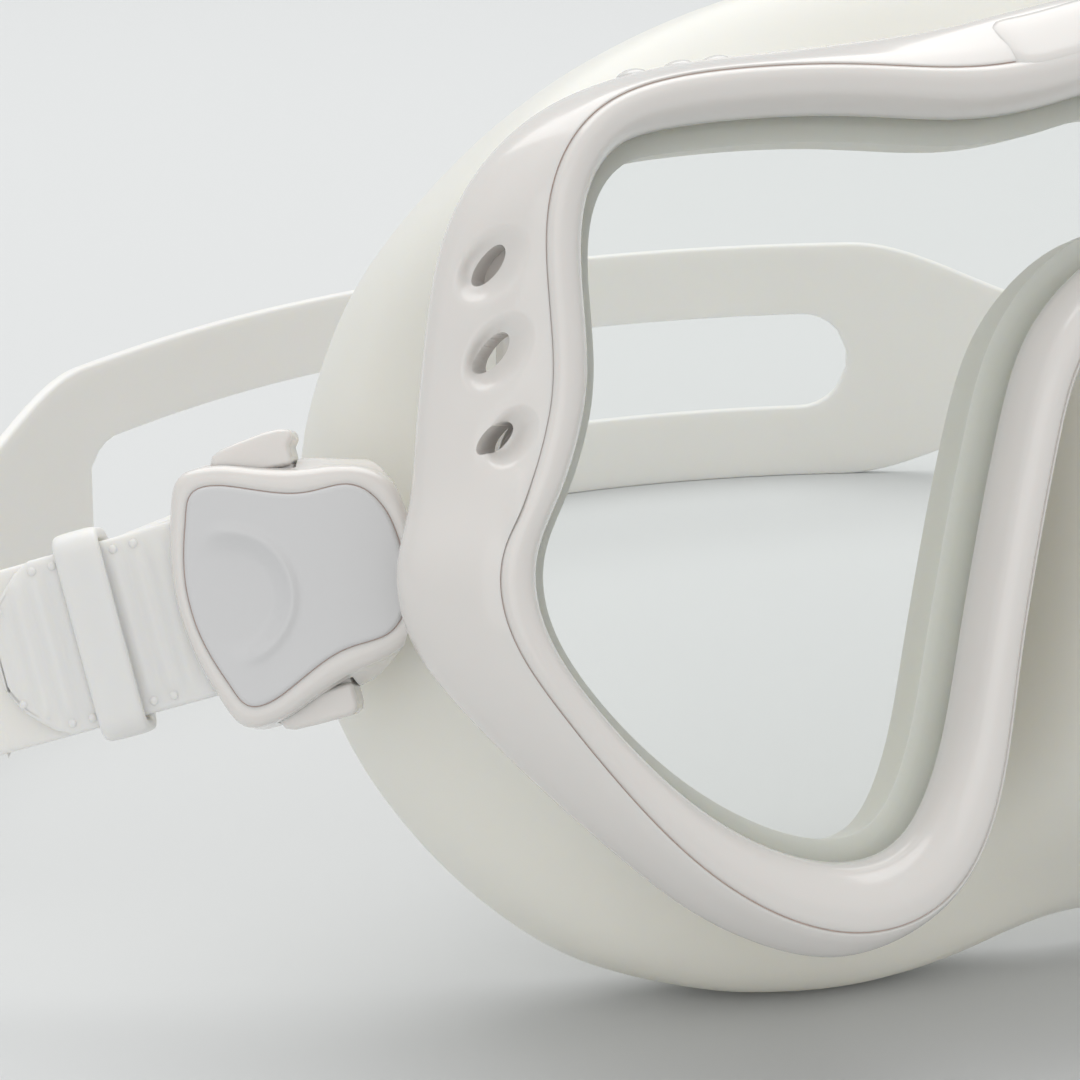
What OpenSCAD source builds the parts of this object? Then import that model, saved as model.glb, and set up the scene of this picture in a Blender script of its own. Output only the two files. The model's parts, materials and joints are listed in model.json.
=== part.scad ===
// Single-window diving mask: a tempered lens held in a silicone skirt by a
// frame and a snap-in bezel, with a split strap on two swivelling quick buckles.
// The front is modelled upright (x right, y toward the face, z up in the lens
// plane) and then leaned back to the pose in which it rests on a table.

/* [Front] */
// Height of the lens opening from nose arch to brow line
brow_height = 45.5; // [42:0.5:52]
// Half width of the lens opening at its widest point
lens_half_w = 74; // [70:0.5:80]
// Width of the bezel ring seen from the front
bezel_w = 4.9; // [4:0.1:6]
// Extra bezel width at the two lower corners
bezel_corner = 2.4; // [0:0.1:3]
// Height of the bezel crest above the glass
bezel_h = 5.9; // [4.5:0.1:7]
// Thickness of the tempered glass
glass_t = 4; // [3:0.1:5]
// How far the glass reaches under the bezel
glass_grip = 2.6; // [2:0.1:3]
// Depth of the frame from the glass front to its rear face
frame_back = 8; // [7.5:0.1:9]
// Angle at which the front leans back at rest
lean = 19; // [10:1:24]

/* [Skirt] */
// Wall thickness of the silicone
skirt_t = 1.6; // [1.2:0.1:2.4]
// Depth of the skirt shoulder at the brow and the lip
skirt_depth = 30; // [26:1:36]
// Extra depth of the skirt at the temples
temple_depth = 12; // [6:1:16]
// Width of the inturned face flange
flange_w = 9; // [6:0.5:12]
// How far the nose pocket bulges forward
nose_h = 33; // [26:1:36]

/* [Buckles] */
// How far a buckle's pivot face lies inside the frame's widest point
pivot_inset = 5.6; // [5:0.1:6]
// Angle by which a buckle is swung outward from the side
swing = 21; // [10:1:35]
// Angle by which a buckle's outer end hangs down
droop = 16; // [8:0.5:18]
// Angle by which a buckle's face tilts up with the front
cant = 17; // [0:1:20]
// Radius of the pivot pin
pin_r = 2; // [1.5:0.1:2.5]
// Radial running clearance of pins and journals
run_gap = 0.05; // [0.02:0.01:0.1]
// Length of the buckle housing from the pivot to its outer end
housing_l = 24; // [23:0.5:28]
// Floor of the housing between the strap and the cover
housing_floor = 0.9; // [0.8:0.1:1.6]
// Thickness of the buckle cover
cover_t = 1.4; // [1.2:0.1:2]
// Radius of the roller that the strap folds round
roller_r = 1.6; // [1.4:0.1:2.4]
// Travel of a release tab
tab_travel = 1.5; // [0.8:0.1:1.6]

/* [Strap] */
// Width of the plain strap
strap_w = 19.2; // [17:0.2:20]
// Thickness of the strap
strap_t = 1.8; // [1.4:0.1:2.2]
// Width over both bands of the split rear pad
pad_w = 40; // [34:1:44]
// Width of the slot between the two bands
slot_w = 16; // [12:1:18]
// Length of the slot
slot_l = 156; // [120:2:170]
// How far the slot is pulled round toward the left buckle
strap_shift = 41; // [0:1:60]
// Distance from the pivots back to the rear of the loop
strap_reach = 205; // [190:5:230]
// Length of the strap tail past the buckle bar
tail_l = 28; // [24:1:34]
// How far the rear of the loop lies to the right of the middle
loop_shift = 30; // [0:1:40]
// Width of a strap keeper
keeper_w = 5; // [4:0.5:8]

/* [Hidden] */

white = [0.93, 0.92, 0.90];
cream = [0.90, 0.89, 0.85];
pale = [0.84, 0.85, 0.87];
steel = [0.70, 0.71, 0.73];
glass = [0.80, 0.90, 0.86, 0.35];

LEFT = -1;
RIGHT = 1;
seat_gap = 0.15;         // clearance between parts that seat on each other
soft_gap = 0.3;          // clearance round soft parts
n_side = 2;              // stations per control point on every loft
wide = lens_half_w / 74;
tall = brow_height / 45.5;

// ---- Outlines, right half from the brow round to the nose arch ----------
// Lens opening [x, z]
opening = [for (p = [[0, 45.5], [10, 43.7], [20, 43], [36, 44.5], [52, 44.3],
    [60.5, 42], [65, 34], [66, 19], [69.4, 9.3], [74, 1], [73.6, -7],
    [68.5, -16], [60.8, -25], [52.5, -31.1], [43.7, -34], [36.5, -32.2],
    [31, -24], [26, -9], [20.7, 6.4], [15.5, 18.3], [8, 25.6], [0, 28.3]])
    [p[0] * wide, p[1] * tall]];

// Outer edge of the frame, point for point with the opening
frame_edge = [for (p = [[0, 56.2], [10.5, 54.8], [21.5, 53], [38, 52],
    [55, 50.8], [68, 46.3], [77.3, 36], [82, 19], [84, 9], [86.6, 1],
    [85.4, -7], [79, -16.5], [68.5, -28.5], [57, -39], [43.5, -44.2],
    [31, -39.5], [24, -26.5], [19.4, -11.5], [14.4, 3.4], [10, 13.6],
    [4.6, 19], [0, 20.8]]) [p[0] * wide, p[1] * tall]];

// Shoulder of the skirt, its widest line, point for point with the opening
shoulder = [for (p = [[0, 66.5], [12, 66.2], [25, 64.5], [39, 61], [53, 55],
    [65, 46.5], [76, 35], [82.5, 22], [84.8, 11], [85.2, 0], [84, -11],
    [79.5, -22.5], [71.5, -34], [61, -43], [48, -48], [39, -49.6],
    [31, -50], [23.5, -49.4], [17, -48.2], [11, -46.6], [5.5, -45.4],
    [0, -45]]) [p[0] * wide, p[1] * tall]];

pivot_x = max([for (p = frame_edge) p[0]]) - pivot_inset;

n_half = len(opening);
n_loop = 2 * n_half - 2;

// ---- Curve and vector functions ------------------------------------------
function mix(a, b, u) = a + (b - a) * u;
function clamp01(v) = min(1, max(0, v));
function ease(v) = let (c = clamp01(v)) c * c * (3 - 2 * c);
function unit(v) = v / norm(v);
function whole(half) = concat(half, [for (i = [n_half - 2:-1:1]) [-half[i][0], half[i][1]]]);
function spline4(a, b, c, d, u) =
    0.5 * (2 * b + (c - a) * u + (2 * a - 5 * b + 4 * c - d) * u * u
        + (3 * b - a - 3 * c + d) * u * u * u);
function on_loop(p, t) = let (n = len(p), i = floor(t))
    spline4(p[(i + n - 1) % n], p[i % n], p[(i + 1) % n], p[(i + 2) % n], t - i);
function bezier(a, b, c, d, u) = let (v = 1 - u)
    v * v * v * a + 3 * v * v * u * b + 3 * v * u * u * c + u * u * u * d;

open_loop = whole(opening);
edge_loop = whole(frame_edge);
shoulder_loop = whole(shoulder);

// A point n millimetres out from the opening at station t, at depth y
function out_dir(t) = unit(on_loop(edge_loop, t) - on_loop(open_loop, t));
function rim_at(t, n, y) = let (p = on_loop(open_loop, t) + out_dir(t) * n) [p[0], y, p[1]];
function frame_w(t) = norm(on_loop(edge_loop, t) - on_loop(open_loop, t));
corner = [43 * wide, -36 * tall];
function ring_w(t) = let (p = on_loop(open_loop, t))
    bezel_w + bezel_corner * exp(-pow(norm([abs(p[0]), p[1]] - corner) / 15, 2));

// ---- Meshes ---------------------------------------------------------------
function quad(a, b, c, d) = [[a, b, c], [a, c, d]];
function flat_list(l) = [for (a = l) for (b = a) b];

// Closed ring of closed sections
module ring_loft(rings) {
    n = len(rings);
    m = len(rings[0]);
    polyhedron(flat_list(rings), flat_list([for (i = [0:n - 1]) for (j = [0:m - 1])
        let (k = (i + 1) % n, l = (j + 1) % m)
            quad(i * m + j, i * m + l, k * m + l, k * m + j)]));
}

// ---- Lens -----------------------------------------------------------------
lens_outline = [for (i = [0:n_loop * n_side - 1])
    let (t = i / n_side) on_loop(open_loop, t) + out_dir(t) * glass_grip];

module lens() {
    color(glass) translate([0, glass_t, 0]) rotate([90, 0, 0])
        linear_extrude(glass_t) polygon(lens_outline);
}

// ---- Frame ----------------------------------------------------------------
bead_w = 4.3;            // outward reach of the skirt's bead round the glass
bead_lip = 1;            // thickness of the bead's lip in front of the glass
bead_back = glass_t + 2; // rear face of the bead
part_y = 1 - bezel_h;    // depth of the parting line between frame and bezel
wing_y = 4;              // depth of the frame's outer edge at the wings
ledge_y = -bead_lip - 2 * seat_gap;
neck_n = 3;              // outer face of the skirt's neck behind the bead
flange_n = neck_n + soft_gap + 0.1; // inner edge of the frame's rear flange
wall = 2.4;              // wall of the frame over the hollow wings

function edge_y(t) = 1 + (wing_y - 1) * pow(on_loop(edge_loop, t)[0] / (86 * wide), 2);
function frame_section(t) =
    let (w0 = ring_w(t) + seat_gap, w1 = frame_w(t), y1 = edge_y(t),
        deep = clamp01((w1 - w0 - 6) / 4),
        n0 = mix(flange_n, w1 - 1.2, 0.3), n1 = mix(flange_n, w1 - 1.2, 0.86),
        inner = max(w0, bead_w + seat_gap))
    [[w0, part_y], [mix(w0, w1, 0.3), mix(part_y, y1, 0.2)],
        [mix(w0, w1, 0.65), mix(part_y, y1, 0.55)], [w1 - 0.9, y1 - 1.1],
        [w1, y1 + 0.6], [w1 - 0.3, y1 + 2.6], [w1 - 1, frame_back],
        [n1, frame_back], [n1, mix(frame_back, y1 + wall, deep)],
        [n0, mix(frame_back, mix(part_y, y1, 0.3) + wall + 0.6, deep)], [n0, frame_back],
        [flange_n, frame_back], [flange_n, bead_back + seat_gap],
        [bead_w + seat_gap, bead_back + seat_gap], [bead_w + seat_gap, ledge_y],
        [inner, ledge_y]];

// Dished holes through each wing: [x, z, size]
wing_holes = [[74.7, 31.3, 1], [75.3, 22.3, 1], [75.4, 13.5, 0.85]];
hole_face_y = 0.4;
hole_turn = 36;          // the holes look outward, square to the wing

module wing_hole(h) {
    translate([h[0] * wide, hole_face_y, h[1] * tall]) rotate([90, 20, hole_turn])
        scale([1.25 * h[2], h[2], 1]) {
            translate([0, 0, 0.8]) sphere(2.8, $fn = 24);
            cylinder(h = 24, r = 1.7, center = true, $fn = 24);
        }
}

// Lug behind the wing that carries the buckle's pivot
pivot_y = 20;
pivot_z = 3.9;
lug_w = 2.2;
lug_r = 3.4;
lug_x = pivot_x - 0.2 - lug_w;
arm_y = 1.5;             // the lug's arm starts inside the hollow wing

module pivot_axis() translate([0, pivot_y, pivot_z]) rotate([0, 90, 0]) children();

module lug() {
    translate([lug_x, 0, 0]) {
        pivot_axis() cylinder(h = lug_w, r = lug_r, $fn = 48);
        translate([0, arm_y, pivot_z - lug_r]) cube([lug_w, pivot_y - arm_y, 2 * lug_r]);
    }
}

clip_w = 25;             // width of the brow clip
clip_y = -1.2;           // depth of its seat in the frame
clip_lap = 0.6;          // how far it stands in front of the frame

// Band along the brow, w wide, of the closed section [outward, depth]
module brow_band(w, section) {
    m = len(section);
    reach = 2 * n_side;
    pts = [for (i = [-reach:reach]) for (s = section) rim_at(n_loop + i / n_side, s[0], s[1])];
    intersection() {
        polyhedron(pts, concat([[for (j = [m - 1:-1:0]) j]],
            flat_list([for (i = [0:2 * reach - 1]) for (j = [0:m - 1]) let (k = (j + 1) % m)
                quad(i * m + j, i * m + k, (i + 1) * m + k, (i + 1) * m + j)]),
            [[for (j = [0:m - 1]) 2 * reach * m + j]]));
        translate([-w / 2, -50, 0]) cube([w, 100, 100]);
    }
}

// Three low round stops on the frame's top edge near each upper corner
stop_stations = [3.43, 3.68, 3.96];
stop_r = 1.1;
stop_long = 1.6;         // a stop's length over its height
stop_lift = 0.6;

module brow_stops() {
    for (t = stop_stations) translate(rim_at(t, frame_w(t) - stop_r + stop_lift, 3.2)) rotate([-90, 0, 0])
        scale([stop_long, 1, 1]) cylinder(h = 4.6, r = stop_r, $fn = 32);
}

module frame() {
    color(white) difference() {
        union() {
            ring_loft([for (i = [0:n_loop * n_side - 1]) let (t = i / n_side)
                [for (s = frame_section(t)) rim_at(t, s[0], s[1])]]);
            for (s = [LEFT, RIGHT]) mirror([s == LEFT ? 1 : 0, 0, 0]) {
                lug();
                brow_stops();
            }
        }
        for (s = [LEFT, RIGHT]) mirror([s == LEFT ? 1 : 0, 0, 0]) {
            for (h = wing_holes) wing_hole(h);
            translate([lug_x - 1, 0, 0]) pivot_axis() cylinder(h = lug_w + 2, r = pin_r, $fn = 48);
        }
        brow_band(clip_w + 2 * seat_gap, [[bezel_w - 1, clip_y], [bezel_w - 1, -20], [14, -20], [14, clip_y]]);
    }
}

// ---- Bezel ----------------------------------------------------------------
function bezel_section(t) = let (w = ring_w(t), lip = -bead_lip - seat_gap)
    [[0, -seat_gap], [0.2, -bezel_h * 0.3], [0.9, -bezel_h * 0.64],
        [w * 0.42, -bezel_h * 0.92], [w * 0.7, -bezel_h], [w - 0.4, -bezel_h + 0.3],
        [w, part_y - 0.1], [w, lip - seat_gap], [0.5, lip - seat_gap], [0.45, -seat_gap]];

module bezel() {
    color(white) ring_loft([for (i = [0:n_loop * n_side - 1]) let (t = i / n_side)
        [for (s = bezel_section(t)) rim_at(t, s[0], s[1])]]);
}

// ---- Brow clip ------------------------------------------------------------
module brow_clip() {
    low = bezel_w + seat_gap;
    high = frame_edge[0][1] - opening[0][1] - 0.9;
    back = clip_y - seat_gap;
    front = part_y - clip_lap;
    color(white) brow_band(clip_w, [[low, back], [low, front + 0.5], [low + 0.5, front],
        [mix(low, high, 0.35), front + 0.7], [mix(low, high, 0.45), front + 1.5],
        [mix(low, high, 0.8), mix(front, back, 0.62)], [high, back - 0.5], [high, back]]);
}

// ---- Skirt ----------------------------------------------------------------
bead_in = 2.4;           // how far the rear lip shows inside the opening
n_wall = 9;              // stations down the skirt's wall
n_flange = 3;            // stations round its face flange
nose_top = 25 * tall;
nose_low = -44 * tall;

// Bulge of the nose pocket at a point of the lower middle
function nose_half(z) = (13.6 - 0.335 * z / tall) * wide;
function nose_bulge(p) = let (a = clamp01(1 - abs(p[0]) / nose_half(p[2])))
    nose_h * ease(1.25 * a) * ease((nose_top - p[2]) / 44) * ease((p[2] - nose_low) / 24);

function temple(t) = pow(on_loop(shoulder_loop, t)[0] / (85 * wide), 2);
function shoulder_y(t) = skirt_depth + temple_depth * temple(t);
function shoulder_at(t) = let (p = on_loop(shoulder_loop, t)) [p[0], shoulder_y(t), p[1]];
function edge_dir(t) = let (p = on_loop(shoulder_loop, t)) -unit([p[0], 0, p[1] - 5]);

// Outer face of the skirt, from the neck to the free edge, without the nose
function wall_point(t, u) = let (a = rim_at(t, neck_n, frame_back + soft_gap), b = shoulder_at(t),
    d = b[1] - a[1])
    bezier(a, a + [0, (0.62 + 0.22 * temple(t)) * d, 0], b - [0, 0.5 * d, 0], b, u);
function flange_point(t, u) = let (b = shoulder_at(t), e = edge_dir(t) * flange_w)
    bezier(b, b + [0, 0.6 * flange_w, 0], b + [0, flange_w, 0] + e * 0.4, b + [0, flange_w, 0] + e, u);
function skirt_path(t) = [for (p = concat([for (j = [0:n_wall]) wall_point(t, j / n_wall)],
    [for (j = [1:n_flange]) flange_point(t, j / n_flange)])) p - [0, nose_bulge(p), 0]];
n_skirt = n_loop * n_side;
skirt_outer = [for (i = [0:n_skirt - 1]) skirt_path(i / n_side)];
m_skirt = n_wall + 1 + n_flange;
function skirt_normal(i, j) =
    let (a = skirt_outer[(i + 1) % n_skirt][j] - skirt_outer[(i + n_skirt - 1) % n_skirt][j],
        b = skirt_outer[i][min(j + 1, m_skirt - 1)] - skirt_outer[i][max(j - 1, 0)])
    unit(cross(a, b));
function skirt_thick(j) = j >= m_skirt - 1 ? 0.5 * skirt_t : skirt_t;

function skirt_ring(i) = let (t = i / n_side, y0 = -bead_lip, y1 = -seat_gap, y2 = glass_t + seat_gap)
    concat([for (s = [[0.8, y1], [0.8, y0], [bead_w, y0], [bead_w, bead_back], [neck_n, bead_back]])
            rim_at(t, s[0], s[1])],
        skirt_outer[i],
        [for (j = [m_skirt - 1:-1:0]) skirt_outer[i][j] - skirt_normal(i, j) * skirt_thick(j)],
        [for (s = [[0.9, bead_back - 0.2], [-bead_in, bead_back - 0.6], [-bead_in, y2],
            [glass_grip + seat_gap, y2], [glass_grip + seat_gap, y1]]) rim_at(t, s[0], s[1])]);

module skirt() {
    color(cream) ring_loft([for (i = [0:n_skirt - 1]) skirt_ring(i)]);
}

// ---- Resting pose ---------------------------------------------------------
// The front turns back about x by lean, and is lifted until the skirt's
// lowest point touches z = 0
function leaned(p) = [p[0], p[1] * cos(lean) + p[2] * sin(lean), p[2] * cos(lean) - p[1] * sin(lean)];
lift = -min([for (r = skirt_outer) for (p = r) leaned(p)[2]]);
pivot = leaned([0, pivot_y, pivot_z]) + [0, 0, lift];

// The origin lies under the middle of the whole
module stand() translate(-middle) children();
module front() stand() translate([0, 0, lift]) rotate([-lean, 0, 0]) children();
module at_pivots() stand() translate(pivot) children();
// One side of the mask; the left is the mirror image of the right
module on_side(s) mirror([s == LEFT ? 1 : 0, 0, 0]) children();
// Buckle frame: x along the strap from the pivot, z across it, -y outward
module in_buckle(s) at_pivots() on_side(s) translate([pivot_x, 0, 0])
    rotate([-cant, droop, swing]) children();

// ---- Buckles --------------------------------------------------------------
// Half outlines [x, z] are drawn for a housing 24 mm long and a strap 19.2 mm wide
k_len = housing_l / 24;
function fitted(half) = [for (p = half) [p[0] * k_len, p[1] + sign(p[1]) * (strap_w - 19.2) / 2]];
// Crest of the housing's front rim, its body behind, and the hourglass cover let into its front
rim = fitted([[-2.5, 0], [-2.3, 3.6], [-1.7, 6.8], [-0.5, 8.4], [0.9, 9.3], [2.6, 9.8],
    [4.6, 10], [6.8, 10.1], [8.8, 10.5], [10.8, 11.2], [12.8, 12.1], [14.5, 13], [16.5, 13.8],
    [18.6, 14.1], [20.2, 13.8], [21.3, 12.6], [22.2, 10.2], [23.2, 6.6], [23.8, 3], [24, 0]]);
body = fitted([[-2.5, 0], [-2.4, 3.8], [-2, 7.4], [-1, 9.3], [0.6, 10.3], [2.4, 10.9],
    [4.4, 11.5], [6.6, 12.2], [8.6, 12.6], [10.6, 12.8], [12.7, 13.2], [14.5, 13.7], [16.5, 14.3],
    [18.6, 14.5], [20.3, 14.2], [21.5, 12.9], [22.4, 10.4], [23.3, 6.8], [23.8, 3], [24, 0]]);
plate = fitted([[-0.6, 0], [-0.5, 2.3], [-0.1, 4.4], [0.8, 6.3], [1.9, 7.5], [3.3, 8.2],
    [5, 8.35], [7.2, 8.4], [9, 8.7], [10.8, 9.3], [12.7, 10.1], [14.5, 10.9], [16.3, 11.6],
    [18.1, 11.9], [19.3, 11.6], [20, 10.7], [20.6, 9], [21.4, 6.7], [22, 4.5], [22.4, 2.2],
    [22.5, 0]]);

// Smooth closed outline through a half outline and its mirror image, and the same drawn in by d
function closed(half, steps) = let (m = len(half),
    l = concat(half, [for (i = [m - 2:-1:1]) [half[i][0], -half[i][1]]]))
    [for (i = [0:len(l) * steps - 1]) on_loop(l, i / steps)];
function inset(l, d) = let (n = len(l)) [for (i = [0:n - 1])
    let (t = unit(l[(i + 1) % n] - l[(i + n - 1) % n])) l[i] + [t[1], -t[0]] * d];

// Body drawn through sections [half outline, inset, y] from front to rear
module slab(sections, steps = 1) {
    rings = [for (s = sections) inset(closed(s[0], steps), s[1])];
    m = len(rings[0]);
    n = len(sections);
    pts = [for (i = [0:n - 1]) for (p = rings[i]) [p[0], sections[i][2], p[1]]];
    polyhedron(pts, concat([[for (j = [0:m - 1]) j]],
        flat_list([for (i = [0:n - 2]) for (j = [0:m - 1]) let (k = (j + 1) % m)
            quad(i * m + j, (i + 1) * m + j, (i + 1) * m + k, i * m + k)]),
        [[for (j = [0:m - 1]) n * m - 1 - j]]));
}

bar_x = housing_l - 7;      // the strap folds round a roller here
cavity_h = roller_r + 2 * soft_gap + strap_t;
cavity_w = strap_w + 2 * soft_gap;
front_y = -cavity_h - housing_floor - cover_t;
rear_y = -front_y;
flat_r = 4.6;               // flat round the pin; the cone starts outside it
turn_r = 18;
cone = 0.4;                 // rise of the cone for each millimetre outward
hub_l = 5.6;                // depth of the pivot pin in the housing, short of the cover's seat
roller_half = cavity_w / 2 - 0.2;
journal_r = 1.1;
journal_l = 0.8;

// Release tab: a head over the housing's waist, a stem, and a lip held in a pocket
tab_x = 10.2 * k_len;
tab_t = 6;                  // thickness of the head
stem_l = 3;
stem_t = 4.4;
lip_t = 5.8;                // the lip is thicker than the stem, so the tab can't come out
lip_h = 0.8;
tab_gap = 0.2;              // clearance round a tab
pocket_z = strap_w / 2 - 3.6;
recess_z = strap_w / 2 + 1.7;
lip_z = pocket_z + tab_travel + 0.1;
head_z = recess_z + tab_travel + tab_gap;
// Head of the tab seen from the front, over its stem
head_x0 = -1.7;
head_x1 = 6.9;
head_h = 2.4;
head = [[head_x0, 0], [head_x1, 0], [head_x1, head_h - 1.3], [head_x1 - 0.4, head_h - 0.4],
    [head_x1 - 1.3, head_h], [head_x0 + 1, head_h], [head_x0 + 0.3, head_h - 0.4], [head_x0, head_h - 1.2]];

// Block in the buckle frame, from x0 to x1 and z0 to z1, centred on y = 0
module block(x0, x1, t, z0, z1) translate([x0, -t / 2, z0]) cube([x1 - x0, t, z1 - z0]);

module pivot_pin(s) {
    color(steel) at_pivots() on_side(s) rotate([0, 90, 0]) {
        // Pressed into the lug, with a chamfered tip in the housing
        translate([0, 0, lug_x + 0.2]) cylinder(h = pivot_x + hub_l - 0.8 - lug_x - 0.2, r = pin_r, $fn = 48);
        translate([0, 0, pivot_x + hub_l - 0.81]) cylinder(h = 0.5, r1 = pin_r, r2 = pin_r - 0.5, $fn = 48);
    }
}

module buckle_housing(s) {
    color(white) difference() {
        in_buckle(s) slab([[rim, 0.9, front_y], [rim, 0.25, front_y + 0.35], [rim, 0, front_y + 1.1],
            [body, 0, 0.5], [body, 0, rear_y - 2], [body, 0.5, rear_y - 0.7], [body, 1.4, rear_y]]);
        at_pivots() on_side(s) rotate([0, 90, 0]) {
            // Flat that turns against the lug, coned away from the skirt, and the bore for the pin
            translate([0, 0, pivot_x]) rotate_extrude($fn = 48)
                polygon([[0, -12], [turn_r, -12], [turn_r, cone * (turn_r - flat_r)], [flat_r, 0], [0, 0]]);
            translate([0, 0, pivot_x - 1]) cylinder(h = hub_l + 1, r = pin_r + run_gap, $fn = 48);
        }
        in_buckle(s) {
            // Seat of the cover
            slab([[plate, -seat_gap, front_y - 1], [plate, -seat_gap, front_y + cover_t]], 2);
            // Way in for the strap, round in front of the roller
            translate([bar_x, -cavity_h, -cavity_w / 2]) cube([40, 2 * cavity_h, cavity_w]);
            translate([bar_x, 0, -cavity_w / 2]) cylinder(h = cavity_w, r = cavity_h, $fn = 48);
            // Journals of the roller
            translate([bar_x, 0, -roller_half - journal_l - 0.1])
                cylinder(h = 2 * (roller_half + journal_l + 0.1), r = journal_r + run_gap, $fn = 32);
            // Pocket, slot and recess of each release tab
            for (m = [0, 1]) mirror([0, 0, m]) {
                x0 = tab_x - stem_l / 2 - tab_gap;
                x1 = tab_x + stem_l / 2 + tab_gap;
                block(x0, x1, lip_t + 2 * tab_gap, pocket_z, lip_z + lip_h + seat_gap);
                block(x0, x1, stem_t + 2 * tab_gap, pocket_z, head_z);
                block(tab_x + head_x0 - tab_gap, tab_x + head_x1 + tab_gap,
                    tab_t + 2 * tab_gap, recess_z, head_z + 4);
            }
        }
    }
}

module buckle_cover(s) {
    color(pale) in_buckle(s) difference() {
        slab([[plate, 0.5, front_y - 0.25], [plate, 0, front_y + 0.2],
            [plate, 0, front_y + cover_t - seat_gap]], 2);
        // Thumb dish toward the strap
        translate([bar_x + 1.4, front_y - 0.25 - 39.4, 0]) sphere(40, $fn = 96);
    }
}

module release_tab(s, m) {
    color(white) in_buckle(s) mirror([0, 0, m]) {
        translate([tab_x, tab_t / 2, head_z]) rotate([90, 0, 0]) linear_extrude(tab_t) polygon(head);
        block(tab_x - stem_l / 2, tab_x + stem_l / 2, stem_t, lip_z, head_z + 0.2);
        block(tab_x - stem_l / 2, tab_x + stem_l / 2, lip_t, lip_z, lip_z + lip_h);
    }
}

// Bowed leaf under the lip of each tab
module tab_springs(s) {
    leaf = 0.25;
    half_span = lip_t / 2 - 0.3;
    sag = lip_z - pocket_z - 0.2;
    r = (half_span * half_span + sag * sag) / (2 * sag);
    color(steel) in_buckle(s) for (m = [0, 1]) mirror([0, 0, m])
        translate([tab_x - 1.3, 0, lip_z - 0.05 - r]) rotate([90, 0, 90]) linear_extrude(2.6)
            intersection() {
                difference() {
                    circle(r, $fn = 96);
                    circle(r - leaf, $fn = 96);
                }
                translate([-half_span, r - sag]) square([2 * half_span, sag + 1]);
            }
}

module strap_roller(s) {
    color(pale) in_buckle(s) translate([bar_x, 0, 0]) {
        translate([0, 0, -roller_half]) cylinder(h = 2 * roller_half, r = roller_r, $fn = 48);
        for (m = [0, 1]) mirror([0, 0, m]) translate([0, 0, roller_half - 0.1])
            cylinder(h = journal_l + 0.1, r = journal_r, $fn = 32);
    }
}

// ---- Strap ----------------------------------------------------------------
// Right half of the loop seen from above, from the straight stretch to the rear
loop_plan = [for (p = [[138, 0.13], [146.5, 0.235], [144, 0.4], [131, 0.575], [107, 0.745],
    [75, 0.888], [38, 0.972], [0, 1]]) [p[0] * wide, p[1]]];
fold_r = roller_r + soft_gap + strap_t / 2;
layer = strap_t / 2 + 0.2;      // half the distance between strap and tail
straight_end = bar_x + 30;
n_fold = 8;
n_plan = 5;

// Buckle frame to the frame of the two pivots, on the right side
function from_buckle(p) = let (y = p[1] * cos(cant) + p[2] * sin(cant), h = p[2] * cos(cant) - p[1] * sin(cant),
    x = p[0] * cos(droop) + h * sin(droop), z = h * cos(droop) - p[0] * sin(droop))
    [pivot_x + x * cos(swing) - y * sin(swing), x * sin(swing) + y * cos(swing), z];

// Strap and tail between the buckle bar and the free stretch, [x, half gap]
stretch = [[bar_x + 3, fold_r], [bar_x + 6.5, mix(fold_r, layer, 0.25)],
    [housing_l + 2.6, mix(fold_r, layer, 0.95)], [housing_l + 5, layer], [housing_l + 14, layer]];
tail_local = [for (p = concat([[bar_x + tail_l, layer], [bar_x + tail_l - 1.6, layer],
    [bar_x + tail_l - 4, layer]], [for (i = [len(stretch) - 1:-1:0]) if (stretch[i][0] < bar_x + tail_l - 5)
        stretch[i]])) [p[0], -p[1], 0]];
fold_local = [for (i = [0:n_fold]) let (a = -90 - 180 * i / n_fold)
    [bar_x + fold_r * cos(a), fold_r * sin(a), 0]];
main_local = [for (p = concat(stretch, [[straight_end - 3, layer], [straight_end, layer]])) [p[0], p[1], 0]];
// The strap leaves each buckle canted, and twists upright over the next stations
n_fixed = len(tail_local) + len(fold_local) + len(main_local);
n_twist = 12;

rear_drop = pivot[2] - pad_w / 2;
join = from_buckle([straight_end, layer, 0]);
join_slope = tan(droop) / sin(swing);
// Height along the free loop: it leaves at the buckle's slope and levels out
function loop_z(y) = let (u = clamp01((y - join[1]) / (strap_reach - join[1])),
    fall = -rear_drop - join[2], p = join_slope * (strap_reach - join[1]) / -fall)
    join[2] + fall * (1 - pow(1 - u, p));
plan_knots = concat([from_buckle([straight_end - 8, layer, 0]), join],
    [for (p = loop_plan) [p[0], p[1] * strap_reach, 0]],
    [[-loop_plan[6][0], loop_plan[6][1] * strap_reach, 0]]);
function plan_at(t) = let (i = floor(t) + 1, p = plan_knots,
    q = spline4(p[i - 1], p[i], p[i + 1], p[min(i + 2, len(p) - 1)], t - floor(t)))
    [q[0], q[1], loop_z(q[1])];
free_half = [for (i = [1:len(loop_plan) * n_plan - 1]) plan_at(i / n_plan)];

right_half = concat([for (p = concat(tail_local, fold_local, main_local)) from_buckle(p)], free_half);
function flip(p) = [-p[0], p[1], p[2]];
centre = [0, strap_reach, -rear_drop];
level_line = concat(right_half, [centre], [for (i = [len(right_half) - 1:-1:0]) flip(right_half[i])]);
n_strap = len(level_line);
mid_i = len(right_half);
slot_mid = -strap_shift;
buckle_up = from_buckle([0, 0, 1]) - [pivot_x, 0, 0];
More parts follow.
